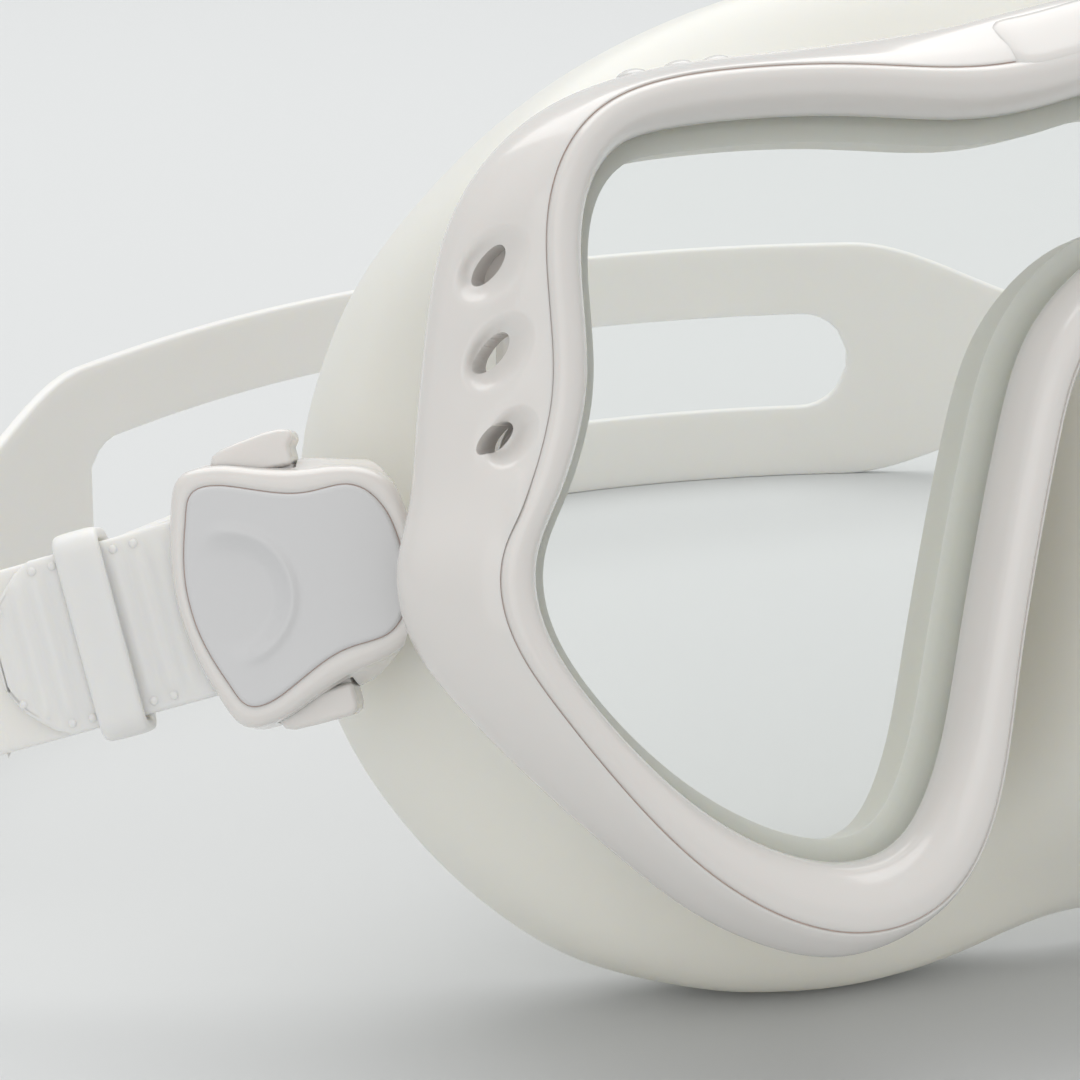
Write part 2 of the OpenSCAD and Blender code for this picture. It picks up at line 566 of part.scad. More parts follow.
// The free loop lies skewed to the right, with its lowest edge on z = 0
function freed(p) = ease((p[1] - join[1]) / (strap_reach - join[1]));
skewed_line = [for (p = level_line) p + [loop_shift * freed(p), 0, 0]];
rise = -pivot[2] - min([for (i = [0:n_strap - 1]) if (skewed_line[i][1] > strap_reach * 0.7)
    skewed_line[i][2] - half_h(i, skewed_line) * strap_up(i, skewed_line)[2]]);
strap_line = [for (p = skewed_line) p + [0, 0, rise * freed(p)]];

// Signed length along the strap from its middle, positive toward the right tail
function run_from(i, step, sum, l) = i == mid_i ? sum
    : run_from(i + step, step, sum + norm(l[i + step] - l[i]), l);
function strap_s(i, l) = i < mid_i ? run_from(i, 1, 0, l) : -run_from(i, -1, 0, l);
function taper(s) = let (d = abs(s - slot_mid) - slot_l / 2) ease(1 - d / 26);
function slot_open(s) = abs(s - slot_mid) < slot_l / 2;

// Half heights of the whole strap and of its slot at station i
function half_h(i, l) = let (k = min(i, n_strap - 1 - i), end = [0.35, 0.62, 0.88])
    k < 3 ? strap_w / 2 * end[k] : mix(strap_w, pad_w, taper(strap_s(i, l))) / 2;
function half_slot(i, l) = let (d = slot_l / 2 - abs(strap_s(i, l) - slot_mid))
    d > 0 ? slot_w / 2 * sqrt(clamp01(0.06 + 0.94 * d / 12)) : half_h(i, l) / 3;

function strap_tan(i, l) = unit(l[min(i + 1, n_strap - 1)] - l[max(i - 1, 0)]);
function strap_up(i, l) = let (t = strap_tan(i, l), b = i < mid_i ? buckle_up : flip(buckle_up))
    unit(mix(b - t * (b * t), [0, 0, 1] - t * t[2], ease((min(i, n_strap - 1 - i) - n_fixed) / n_twist)));
slot_on = [for (i = [0:n_strap - 1]) slot_open(strap_s(i, strap_line))];

strap_rows = [for (i = [0:n_strap - 1]) let (l = strap_line, h = half_h(i, l), g = half_slot(i, l),
    up = strap_up(i, l), nrm = cross(strap_tan(i, l), up) * strap_t / 2)
    flat_list([for (o = [-h, -g, g, h]) [l[i] + up * o + nrm, l[i] + up * o - nrm]])];
strap_x = [for (r = strap_rows) for (p = r) p[0]];
strap_y = [for (r = strap_rows) for (p = r) p[1]];
bezel_front = [for (i = [0:n_loop * n_side - 1]) for (q = bezel_section(i / n_side))
    leaned(rim_at(i / n_side, q[0], q[1]))[1]];
middle = [(min(strap_x) + max(strap_x)) / 2, (min(bezel_front) + pivot[1] + max(strap_y)) / 2, 0];

module strap() {
    last = n_strap - 1;
    faces = concat(
        flat_list([for (i = [0:last - 1]) for (r = [0:2]) if (r != 1 || !(slot_on[i] && slot_on[i + 1]))
            let (a = i * 8 + r * 2, b = a + 8)
                concat(quad(a, a + 2, b + 2, b), quad(a + 1, b + 1, b + 3, a + 3))]),
        flat_list([for (i = [0:last - 1]) let (a = i * 8, b = a + 8)
            concat(quad(a, b, b + 1, a + 1), quad(a + 6, a + 7, b + 7, b + 6))]),
        flat_list([for (i = [0:last - 1]) if (slot_on[i] && slot_on[i + 1]) let (a = i * 8, b = a + 8)
            concat(quad(a + 2, a + 3, b + 3, b + 2), quad(a + 4, b + 4, b + 5, a + 5))]),
        flat_list([for (i = [1:last - 1]) let (a = i * 8)
            slot_on[i] && !slot_on[i - 1] ? quad(a + 2, a + 4, a + 5, a + 3)
            : slot_on[i] && !slot_on[i + 1] ? quad(a + 2, a + 3, a + 5, a + 4) : []]),
        flat_list([for (r = [0:2]) let (a = r * 2, b = last * 8 + r * 2)
            concat(quad(a, a + 1, a + 3, a + 2), quad(b, b + 2, b + 3, b + 1))]));
    color(cream) at_pivots() polyhedron(flat_list(strap_rows), faces);
}

// ---- Keepers --------------------------------------------------------------
keeper_x = housing_l + 6.8 + keeper_w / 2;
keeper_t = 1.5;

module strap_keeper(s) {
    h = 2 * layer + strap_t + 2 * soft_gap;
    w = strap_w + 2 * soft_gap;
    color(cream) in_buckle(s) translate([keeper_x - keeper_w / 2, 0, 0]) rotate([90, 0, 90])
        linear_extrude(keeper_w) difference() {
            offset(keeper_t, $fn = 24) square([h, w], center = true);
            square([h, w], center = true);
        }
}

front() lens();
front() frame();
front() bezel();
front() skirt();
front() brow_clip();
pivot_pin(LEFT);  // pivot_pin_left
pivot_pin(RIGHT);  // pivot_pin_right
buckle_housing(LEFT);  // buckle_housing_left
buckle_housing(RIGHT);  // buckle_housing_right
buckle_cover(LEFT);  // buckle_cover_left
buckle_cover(RIGHT);  // buckle_cover_right
release_tab(LEFT, 0);  // release_tab_left_upper
release_tab(LEFT, 1);  // release_tab_left_lower
release_tab(RIGHT, 0);  // release_tab_right_upper
release_tab(RIGHT, 1);  // release_tab_right_lower
tab_springs(LEFT);  // tab_springs_left
tab_springs(RIGHT);  // tab_springs_right
strap_roller(LEFT);  // strap_roller_left
strap_roller(RIGHT);  // strap_roller_right
strap();
strap_keeper(LEFT);  // strap_keeper_left
strap_keeper(RIGHT);  // strap_keeper_right
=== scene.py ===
# %% [markdown]
# # A diving mask, piece by piece
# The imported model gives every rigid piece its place. This lesson builds the smooth, finished surfaces on top of
# it: a glossy frame and bezel round a flat glass, a soft skirt, two buckles and a split strap.
# Everything is in metres in the model's own frame, so each new piece lands where its plain twin already is.

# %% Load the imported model
import math

import bmesh
import bpy
from mathutils import Matrix, Vector
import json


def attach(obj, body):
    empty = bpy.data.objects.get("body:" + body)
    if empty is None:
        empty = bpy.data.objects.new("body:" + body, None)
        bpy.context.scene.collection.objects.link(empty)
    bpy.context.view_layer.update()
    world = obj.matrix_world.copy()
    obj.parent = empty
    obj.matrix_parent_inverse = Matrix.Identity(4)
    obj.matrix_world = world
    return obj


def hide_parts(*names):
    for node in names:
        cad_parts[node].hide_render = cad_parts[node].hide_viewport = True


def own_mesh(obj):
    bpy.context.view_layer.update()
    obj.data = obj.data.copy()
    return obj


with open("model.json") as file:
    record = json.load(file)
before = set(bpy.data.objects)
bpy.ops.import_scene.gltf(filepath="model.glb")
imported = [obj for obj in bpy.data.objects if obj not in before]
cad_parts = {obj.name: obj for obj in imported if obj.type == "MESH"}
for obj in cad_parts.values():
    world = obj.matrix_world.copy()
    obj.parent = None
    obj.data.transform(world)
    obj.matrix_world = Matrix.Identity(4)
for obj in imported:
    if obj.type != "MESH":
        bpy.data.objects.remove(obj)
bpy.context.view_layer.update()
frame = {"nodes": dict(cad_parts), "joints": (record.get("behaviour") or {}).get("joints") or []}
joints = {j["name"]: j for j in frame["joints"]}

# %% [markdown]
# The mask leans back where it rests, so its own upright frame (x right, y toward the face, z up in the plane of
# the glass) is turned by 19 degrees. The strap's hinge runs through both pivot pins, and that one joint tells
# where the upright frame lies. Each buckle has a frame of its own too: x along the strap, z across it.

# %% From the mask's own frames to the model's
MM = 0.001
LEAN = math.radians(-19)
SWING = math.radians(21)
DROOP = math.radians(16)
CANT = math.radians(-17)
hinge = Vector(joints["strap_tilt"]["pos_m"])
PIVOT = Vector((0, 20, 3.9)) * MM
PIVOT_X = 81 * MM
lean_back = Matrix.Rotation(LEAN, 4, "X")
FRONT = Matrix.Translation(hinge) @ lean_back @ Matrix.Translation(-PIVOT)


def mirrored(side):
    """Nothing for the right side, a mirror image for the left."""
    return Matrix.Scale(side, 4, (1, 0, 0))


def buckle(side):
    """The frame of one buckle: side is -1 for the left and 1 for the right."""
    turn = Matrix.Rotation(SWING, 4, "Z") @ Matrix.Rotation(DROOP, 4, "Y") @ Matrix.Rotation(CANT, 4, "X")
    one = Matrix.Translation((PIVOT_X, 0, 0)) @ turn
    return Matrix.Translation(hinge) @ mirrored(side) @ one


def from_hinge(side):
    """The same frame measured from the hinge, with millimetres on both sides."""
    return Matrix.Translation(-hinge / MM) @ Matrix.Scale(1 / MM, 4) @ buckle(side) @ Matrix.Scale(MM, 4)


print("hinge", [round(c * 1000, 2) for c in hinge])

# %% [markdown]
# ## Camera, floor and light
# The camera stands a little above the mask and to its left, far enough back for a long lens. A long lens keeps
# the near buckle and the far rim at nearly the same scale.

# %% Camera
FROM_HINGE = Vector((-205.6, -365.39, 111.87))
CAMERA_TILT, CAMERA_TURN, FOCAL_LENGTH = 74, -21, 125.8
camera = bpy.data.objects.new("camera", bpy.data.cameras.new("camera"))
bpy.context.scene.collection.objects.link(camera)
camera.location = hinge + FROM_HINGE * MM
camera.rotation_euler = (math.radians(CAMERA_TILT), 0, math.radians(CAMERA_TURN))
camera.data.lens = FOCAL_LENGTH
camera.data.sensor_width = 36
camera.data.clip_start = 0.01
bpy.context.scene.camera = camera
print("camera at", [round(c, 3) for c in camera.location])

# %% [markdown]
# White plastic on a pale floor only reads through soft shade. One wide lamp hangs above and behind, so that the
# top edges are bright and the faces toward the camera sink a little. A weak one in front keeps them open.
# The floor runs up into a curved backdrop, so no horizon shows.

# %% Finishes need a helper for nodes
def new_material(name, colour, roughness):
    """A plain surface with its main shader, ready for a pattern."""
    material = bpy.data.materials.new(name)
    material.use_nodes = True
    shader = material.node_tree.nodes["Principled BSDF"]
    shader.inputs["Base Color"].default_value = (*colour, 1)
    shader.inputs["Roughness"].default_value = roughness
    return material, shader


def node(material, kind, **values):
    """One node, with its inputs set by name."""
    made = material.node_tree.nodes.new(kind)
    for key, value in values.items():
        if key in made.inputs:
            made.inputs[key].default_value = value
        else:
            setattr(made, key, value)
    return made


def link(material, out_socket, in_socket):
    material.node_tree.links.new(out_socket, in_socket)


# %% Helpers for meshes
def as_object(mesh, name="shape"):
    """Puts a working mesh in the scene as an object."""
    data = bpy.data.meshes.new(name)
    mesh.to_mesh(data)
    mesh.free()
    made = bpy.data.objects.new(name, data)
    bpy.context.scene.collection.objects.link(made)
    return made


def applied(target):
    """The mesh of an object after its modifiers. The object is used up."""
    result = bmesh.new()
    result.from_mesh(target.evaluated_get(bpy.context.evaluated_depsgraph_get()).to_mesh())
    bpy.data.objects.remove(target)
    return result


def moved(mesh, place):
    """Moves a mesh to a place. A mirror image turns faces inside out, so they are turned back."""
    bmesh.ops.transform(mesh, matrix=place, verts=mesh.verts)
    if place.determinant() < 0:
        bmesh.ops.reverse_faces(mesh, faces=mesh.faces)
    return mesh


def corners_of(result):
    """The corners that an extrusion made."""
    return [v for v in result["geom"] if isinstance(v, bmesh.types.BMVert)]


# %% Floor and backdrop
floor_white, _ = new_material("floor_paper", (0.672, 0.684, 0.686), 0.75)
FLOOR_FRONT, BEND, BEND_STEPS, WALL_TOP, FLOOR_HALF = -1.5, 0.9, 12, 2.6, 3
floor_mesh = bmesh.new()
line = [(FLOOR_FRONT, 0), (BEND, 0)]
for k in range(1, BEND_STEPS + 1):
    a = math.radians(90 * k / BEND_STEPS)
    line.append((BEND + BEND * math.sin(a), BEND - BEND * math.cos(a)))
line.append((2 * BEND, WALL_TOP))
first = [floor_mesh.verts.new((-FLOOR_HALF, y, z)) for y, z in line]
edges = [floor_mesh.edges.new(pair) for pair in zip(first, first[1:])]
wide = bmesh.ops.extrude_edge_only(floor_mesh, edges=edges)
bmesh.ops.translate(floor_mesh, vec=(2 * FLOOR_HALF, 0, 0), verts=corners_of(wide))
bmesh.ops.recalc_face_normals(floor_mesh, faces=floor_mesh.faces)
for face in floor_mesh.faces:
    face.smooth = True
floor = as_object(floor_mesh, "floor")
floor.data.materials.append(floor_white)


# %% Lamps and world
def lamp(name, place, aim, size, power):
    """A square soft box at place, facing aim."""
    light = bpy.data.lights.new(name, "AREA")
    light.size = size
    light.energy = power
    made = bpy.data.objects.new(name, light)
    bpy.context.scene.collection.objects.link(made)
    made.location = place
    made.rotation_euler = (Vector(aim) - Vector(place)).to_track_quat("-Z", "Y").to_euler()


lamp("top_back", (0.1, 0.52, 1.35), (0, -0.05, 0.05), 1.7, 15.3)
lamp("front_fill", (-0.8, -1.3, 0.6), (0, -0.1, 0.05), 1.4, 4)
world = bpy.data.worlds.new("studio")
bpy.context.scene.world = world
world.use_nodes = True
sky = world.node_tree.nodes["Background"]
sky.inputs["Color"].default_value = (0.99, 0.99, 0.985, 1)
sky.inputs["Strength"].default_value = 0.64
bpy.context.scene.view_settings.view_transform = "Standard"

# %% [markdown]
# ## Curves that everything follows
# The glass, bezel, frame and skirt are rings round the same opening. Three outlines are enough: the opening,
# the outer edge of the frame and the widest line of the skirt. Each is given by its right half, from the brow
# down to the arch of the nose, and mirrored. A spline through the points gives any place between them.

# %% The three outlines
OPENING = [(0, 45.5), (10, 43.7), (20, 43), (36, 44.5), (52, 44.3), (60.5, 42), (65, 34), (66, 19), (69.4, 9.3),
           (74, 1), (73.6, -7), (68.5, -16), (60.8, -25), (52.5, -31.1), (43.7, -34), (36.5, -32.2), (31, -24),
           (26, -9), (20.7, 6.4), (15.5, 18.3), (8, 25.6), (0, 28.3)]
FRAME_EDGE = [(0, 56.2), (10.5, 54.8), (21.5, 53), (38, 52), (55, 50.8), (68, 46.3), (77.3, 36), (82, 19),
              (84, 9), (86.6, 1), (85.4, -7), (79, -16.5), (68.5, -28.5), (57, -39), (43.5, -44.2),
              (31, -39.5), (24, -26.5), (19.4, -11.5), (14.4, 3.4), (10, 13.6), (4.6, 19), (0, 20.8)]
SHOULDER = [(0, 66.5), (12, 66.2), (25, 64.5), (39, 61), (53, 55), (65, 46.5), (76, 35), (82.5, 22), (84.8, 11),
            (85.2, 0), (84, -11), (79.5, -22.5), (71.5, -34), (61, -43), (48, -48), (39, -49.6), (31, -50),
            (23.5, -49.4), (17, -48.2), (11, -46.6), (5.5, -45.4), (0, -45)]
STEPS = 12  # stations between two points of an outline
OUTLINE_ROUNDS = 12  # how many times an outline is evened out


def spline(a, b, c, d, u):
    """The smooth curve from b to c, a share u of the way."""
    return 0.5 * (2 * b + (c - a) * u + (2 * a - 5 * b + 4 * c - d) * u * u + (3 * b - a - 3 * c + d) * u ** 3)


def evened(loop, rounds):
    """A closed line with its bends eased: each place moves toward its two neighbours."""
    for _ in range(rounds):
        loop = [(loop[i - 1] + 2 * p + loop[(i + 1) % len(loop)]) / 4 for i, p in enumerate(loop)]
    return loop


def closed_curve(half, flip, steps):
    """A smooth closed line through a half outline and its mirror image, in steps from point to point."""
    points = [Vector(p) for p in half] + [Vector((x * flip[0], z * flip[1])) for x, z in half[-2:0:-1]]
    n = len(points)
    return [spline(points[i - 1], points[i], points[(i + 1) % n], points[(i + 2) % n], k / steps)
            for i in range(n) for k in range(steps)]


def lengths_along(line):
    """How far along a line each of its places lies."""
    run = [0.0]
    for a, b in zip(line, line[1:]):
        run.append(run[-1] + (b - a).length)
    return run


opening, frame_edge, shoulder = [evened(closed_curve(half, (-1, 1), STEPS), OUTLINE_ROUNDS)
                                 for half in (OPENING, FRAME_EDGE, SHOULDER)]
STATIONS = len(opening)
outward = [(b - a).normalized() for a, b in zip(opening, frame_edge)]
frame_width = [(b - a).length for a, b in zip(opening, frame_edge)]
print("stations round the opening", STATIONS)


# %% Small curve helpers
def ease(t):
    """0 before 0, 1 after 1, and a smooth step between."""
    t = max(0.0, min(1.0, t))
    return t * t * (3 - 2 * t)


def mix(a, b, t):
    return a + (b - a) * t


def rim_at(i, n, y):
    """The point n millimetres outside the opening at station i, at depth y."""
    p = opening[i % STATIONS] + outward[i % STATIONS] * n
    return Vector((p.x, y, p.y))


def section_at(i, profile):
    """A profile of places (out from the opening, depth), standing at station i."""
    return [rim_at(i, n, y) for n, y in profile]


def bezel_width(i):
    """The bezel is fatter at its two lower corners."""
    p = opening[i % STATIONS]
    off = Vector((abs(p.x) - 43, p.y + 36)).length / 15
    return 4.9 + 2.4 * math.exp(-off * off)


def along(points, count):
    """count places on a smooth open line through the points."""
    last = len(points) - 1
    places = []
    for k in range(count):
        t = last * k / (count - 1)
        i = min(int(t), last - 1)
        a, b, c, d = points[max(i - 1, 0)], points[i], points[i + 1], points[min(i + 2, last)]
        places.append(spline(a, b, c, d, t - i))
    return places


# %% [markdown]
# ## One way to make a skin
# Most pieces here are skins: a grid of faces wrapped into a ring, a roll or a lid. Blender makes the flat grid,
# a rule moves each corner to its place, and the edges that meet are merged. A grid is chosen because its rows
# follow the form, so highlights run along the piece and not across it.

# %% Wrap a grid
GRID_MERGE = 1e-4  # corners closer than this become one
SQUARE = 57  # an edge that turns by more than this many degrees is taken as square


def wrap_grid(rows, columns, place):
    """A grid of rows x columns faces, whose corners go where place(i, j) says. Edges that meet are merged."""
    mesh = bmesh.new()
    bmesh.ops.create_grid(mesh, x_segments=rows, y_segments=columns, size=0.5)
    for v in mesh.verts:
        v.co = place(round((v.co.x + 0.5) * rows), round((v.co.y + 0.5) * columns))
    bmesh.ops.remove_doubles(mesh, verts=mesh.verts, dist=GRID_MERGE)
    bmesh.ops.recalc_face_normals(mesh, faces=mesh.faces)
    return mesh


def wrap_rows(rows):
    """A grid wrapped both ways: row i is a closed section, and the last row meets the first."""
    return wrap_grid(len(rows), len(rows[0]), lambda i, j: rows[i % len(rows)][j % len(rows[0])])


def close_ends(mesh):
    """Puts a lid on each open edge."""
    bmesh.ops.holes_fill(mesh, edges=[e for e in mesh.edges if e.is_boundary])
    bmesh.ops.recalc_face_normals(mesh, faces=mesh.faces)
    return mesh


def round_edges(mesh, sharper_than, offset, segments):
    """Bevels the edges that turn by more than an angle in degrees."""
    rims = [e for e in mesh.edges if e.calc_face_angle(0) > math.radians(sharper_than)]
    bmesh.ops.bevel(mesh, geom=rims, offset=offset, segments=segments, profile=0.5, affect="EDGES", material=-1)


def draw_out(mesh, vec):
    """Draws the faces out along vec and closes the skin."""
    drawn = bmesh.ops.extrude_face_region(mesh, geom=mesh.faces[:])
    bmesh.ops.translate(mesh, vec=vec, verts=corners_of(drawn))
    bmesh.ops.recalc_face_normals(mesh, faces=mesh.faces)


def piece(name, mesh, material, place, body, stands_for=(), sharp=40):
    """Turns a mesh in millimetres into a finished object that rides on a body of the model."""
    bmesh.ops.scale(mesh, vec=(MM, MM, MM), verts=mesh.verts)
    moved(mesh, place)
    for face in mesh.faces:
        face.smooth = True
    for edge in mesh.edges:
        edge.smooth = edge.calc_face_angle(0) < math.radians(sharp)
    made = as_object(mesh, name)
    made.data.materials.append(material)
    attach(made, body)
    for each in [stands_for] if isinstance(stands_for, str) else stands_for:
        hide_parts(each)
    print(name, len(made.data.polygons), "faces")
    return made


# %% [markdown]
# ## Finishes
# Every white here is a different stuff. The frame is a hard glossy plastic, the skirt and strap are silicone
# that lets a little light in, and the buckle covers are cooler and smoother. The patterns are faint: a soft
# flow in the plastic, a satin grain on the silicone.

# %% Patterns that every finish shares
def noise(material, scale, detail):
    """A noise pattern in the object's own coordinates."""
    place = node(material, "ShaderNodeTexCoord")
    pattern = node(material, "ShaderNodeTexNoise", Scale=scale, Detail=detail)
    link(material, place.outputs["Object"], pattern.inputs["Vector"])
    return pattern


def drifting(material, shader, colour, pattern, darkest):
    """The colour wanders between itself and a slightly darker one."""
    tint = node(material, "ShaderNodeMix", data_type="RGBA")
    tint.inputs[6].default_value = (*[c * darkest for c in colour], 1)
    tint.inputs[7].default_value = (*colour, 1)
    link(material, pattern.outputs["Fac"], tint.inputs[0])
    link(material, tint.outputs[2], shader.inputs["Base Color"])


def bumped(material, shader, pattern, strength, distance):
    """The pattern lifts the surface by up to distance."""
    bump = node(material, "ShaderNodeBump", Strength=strength, Distance=distance)
    link(material, pattern.outputs["Fac"], bump.inputs["Height"])
    link(material, bump.outputs["Normal"], shader.inputs["Normal"])


def glowing(shader, weight, radius, scale):
    """Light enters the surface and comes out again nearby."""
    shader.inputs["Subsurface Weight"].default_value = weight
    shader.inputs["Subsurface Radius"].default_value = radius
    shader.inputs["Subsurface Scale"].default_value = scale


# %% Glossy moulded plastic
def moulded(name, colour, roughness, wave, depth):
    """Plastic from a mould: slow waves under the gloss and a very faint drift in the colour."""
    material, shader = new_material(name, colour, roughness)
    flow = noise(material, wave, 2.0)
    drifting(material, shader, colour, flow, 0.975)
    bumped(material, shader, flow, 0.25, depth)
    return material, shader


shell_white, shell_shader = moulded("glossy_shell", (0.80, 0.773, 0.745), 0.2, 90, 0.00015)
shell_shader.inputs["Coat Weight"].default_value = 0.35
shell_shader.inputs["Coat Roughness"].default_value = 0.06
glowing(shell_shader, 0.2, (1.0, 0.72, 0.6), 0.0012)
cover_grey, _ = moulded("buckle_cover_plastic", (0.69, 0.69, 0.695), 0.3, 60, 0.00005)
roller_white, _ = moulded("roller_plastic", (0.70, 0.70, 0.69), 0.35, 200, 0.0001)


# %% Silicone
def silicone(name, colour, roughness, deep):
    """Soft rubber that light enters: a satin grain, and a warm glow where it is thin."""
    material, shader = new_material(name, colour, roughness)
    glowing(shader, 0.45, (1.0, 0.85, 0.62), deep)
    grain, cloud = noise(material, 2500.0, 1.0), noise(material, 35.0, 2.0)
    drifting(material, shader, colour, cloud, 0.96)
    bumped(material, shader, grain, 0.12, 0.00005)
    return material


skirt_white = silicone("skirt_silicone", (0.86, 0.848, 0.785), 0.38, 0.005)
strap_white = silicone("strap_silicone", (0.86, 0.85, 0.825), 0.42, 0.003)
dot_white = silicone("dot_silicone", (0.86, 0.855, 0.84), 0.4, 0.0002)
# painted shade: a warm dark colour for thin strips that stand in for the shade at the bottom of narrow gaps
seam_painted_shade = silicone("seam_shade", (0.62, 0.45, 0.39), 0.6, 0.0002)

# %% Glass and steel
GLASS_TINT = (0.97, 0.985, 0.975)
clear_glass, glass_shader = new_material("tempered_glass", GLASS_TINT, 0.0)
glass_shader.inputs["Transmission Weight"].default_value = 1
glass_shader.inputs["IOR"].default_value = 1.5
rays = node(clear_glass, "ShaderNodeLightPath")
let_through = node(clear_glass, "ShaderNodeBsdfTransparent", Color=(*GLASS_TINT, 1))
either = node(clear_glass, "ShaderNodeMixShader")
link(clear_glass, rays.outputs["Is Shadow Ray"], either.inputs[0])
link(clear_glass, glass_shader.outputs["BSDF"], either.inputs[1])
link(clear_glass, let_through.outputs["BSDF"], either.inputs[2])
glass_output = clear_glass.node_tree.nodes["Material Output"]
link(clear_glass, either.outputs["Shader"], glass_output.inputs["Surface"])
steel, steel_shader = new_material("brushed_steel", (0.62, 0.62, 0.63), 0.3)
steel_shader.inputs["Metallic"].default_value = 1
bumped(steel, steel_shader, noise(steel, 900.0, 3.0), 0.1, 0.00004)
print("finishes", [m.name for m in bpy.data.materials if m.users])

# %% [markdown]
# ## The skirt
# The silicone starts as a bead that grips the glass, passes the frame as a straight neck, and flares out to a
# shoulder before it turns in as the flange that lies on the face. The nose pocket is a bulge in that wall, and
# a short fin behind the glass shows as a second, lighter band. The skin is built from one path per station: out
# along the outer face, back along the inner one.

# %% Path of the skirt
GLASS = 4.0
BEAD_BACK = GLASS + 2
NECK = 3.0
FRAME_BACK = 8.0
FLANGE = 9.0
WALL = 1.6
WALL_STEPS, FLANGE_STEPS = 22, 9
FIN = 11.0  # how far back the fin behind the glass reaches
BEAD = [(0.8, -0.15), (0.8, -1), (4.3, -1), (4.3, BEAD_BACK), (NECK, BEAD_BACK)]
FIN_AND_SEAT = [(0.5, FIN - 2), (-0.4, FIN - 1), (-1, FIN - 0.2), (-1.5, FIN), (-2, FIN - 0.3),
                (-2.2, FIN - 1), (-2.4, BEAD_BACK), (-2.4, GLASS + 0.25), (-2.2, GLASS + 0.15),
                (2.75, GLASS + 0.15), (2.75, -0.15)]


NOSE_HALF, NOSE_FLARE, NOSE_DEPTH, NOSE_TOP, NOSE_FOOT = 13.6, 0.335, 33, 25, -44


def nose_bulge(p):
    """How far the nose pocket pushes a point of the wall forward."""
    near = max(0.0, min(1.0, 1 - abs(p.x) / (NOSE_HALF - NOSE_FLARE * p.z)))
    return NOSE_DEPTH * ease(1.25 * near) * ease((NOSE_TOP - p.z) / 44) * ease((p.z - NOSE_FOOT) / 24)


def bezier(a, b, c, d, u):
    v = 1 - u
    return v ** 3 * a + 3 * v * v * u * b + 3 * v * u * u * c + u ** 3 * d


def skirt_outer(i):
    """Outer face at station i, from the neck to the free edge."""
    s = shoulder[i % STATIONS]
    start = rim_at(i, NECK, FRAME_BACK + 0.3)
    turn = Vector((s.x, 30 + 12 * (s.x / 85) ** 2, s.y))
    run = turn.y - start.y
    inward = -Vector((s.x, 0, s.y - 5)).normalized() * FLANGE
    straight = 0.62 + 0.22 * (s.x / 85) ** 2
    leave, arrive = start + Vector((0, straight * run, 0)), turn - Vector((0, 0.5 * run, 0))
    path = [bezier(start, leave, arrive, turn, k / WALL_STEPS) for k in range(WALL_STEPS + 1)]
    edge = turn + Vector((0, FLANGE, 0))
    leave, arrive = turn + Vector((0, 0.6 * FLANGE, 0)), edge + inward * 0.4
    path += [bezier(turn, leave, arrive, edge + inward, k / FLANGE_STEPS) for k in range(1, FLANGE_STEPS + 1)]
    return [p - Vector((0, nose_bulge(p), 0)) for p in path]


# %% Skin of the skirt
outer = [skirt_outer(i) for i in range(STATIONS)]
COUNT = len(outer[0])


def skirt_inner(i, j):
    """The inner face lies a wall's thickness inside the outer one, and thins toward the free edge."""
    across = outer[(i + 1) % STATIONS][j] - outer[i - 1][j]
    down = outer[i][min(j + 1, COUNT - 1)] - outer[i][max(j - 1, 0)]
    thick = WALL * mix(1, 0.5, ease((j - COUNT + 8) / 7))
    return outer[i][j] - across.cross(down).normalized() * thick


def skirt_row(i):
    """One closed section: bead, outer face, free edge, inner face, then the fin and the seat of the glass."""
    inner = [skirt_inner(i, j) for j in reversed(range(COUNT))]
    lip = (outer[i][-1] + inner[0]) / 2 + (outer[i][-1] - outer[i][-2]).normalized() * 0.35
    return section_at(i, BEAD) + outer[i] + [lip] + inner + section_at(i, FIN_AND_SEAT)


skirt_mesh = wrap_rows([skirt_row(i) for i in range(STATIONS)])
piece("skirt_skin", skirt_mesh, skirt_white, FRONT, "mask", "skirt")

# %% [markdown]
# ## The frame
# A glossy band whose front face falls away from the bezel to the outer edge. Behind the wings it is hollow. Its
# section changes all the way round, so it is wrapped station by station like the skirt. Close to the bezel the
# two parts almost touch and only their rounded corners leave a groove. A warm strip of painted shade lies at its
# bottom: it stands in for the dim, warm light that bounces about in so narrow a place.

# %% Section of the frame
PART_Y = -4.9  # where the frame meets the bezel
HOLES = [(74.7, 31.3, 1.0), (75.3, 22.3, 1.0), (75.4, 13.5, 0.8)]  # x, z and size of the three in a wing
FACE = 48  # places across the front face
FACE_BOW = [(0.28, 0.14), (0.56, 0.36), (0.78, 0.58), (0.93, 0.79)]


def edge_depth(i):
    return 1 + 3 * (frame_edge[i % STATIONS].x / 86) ** 2


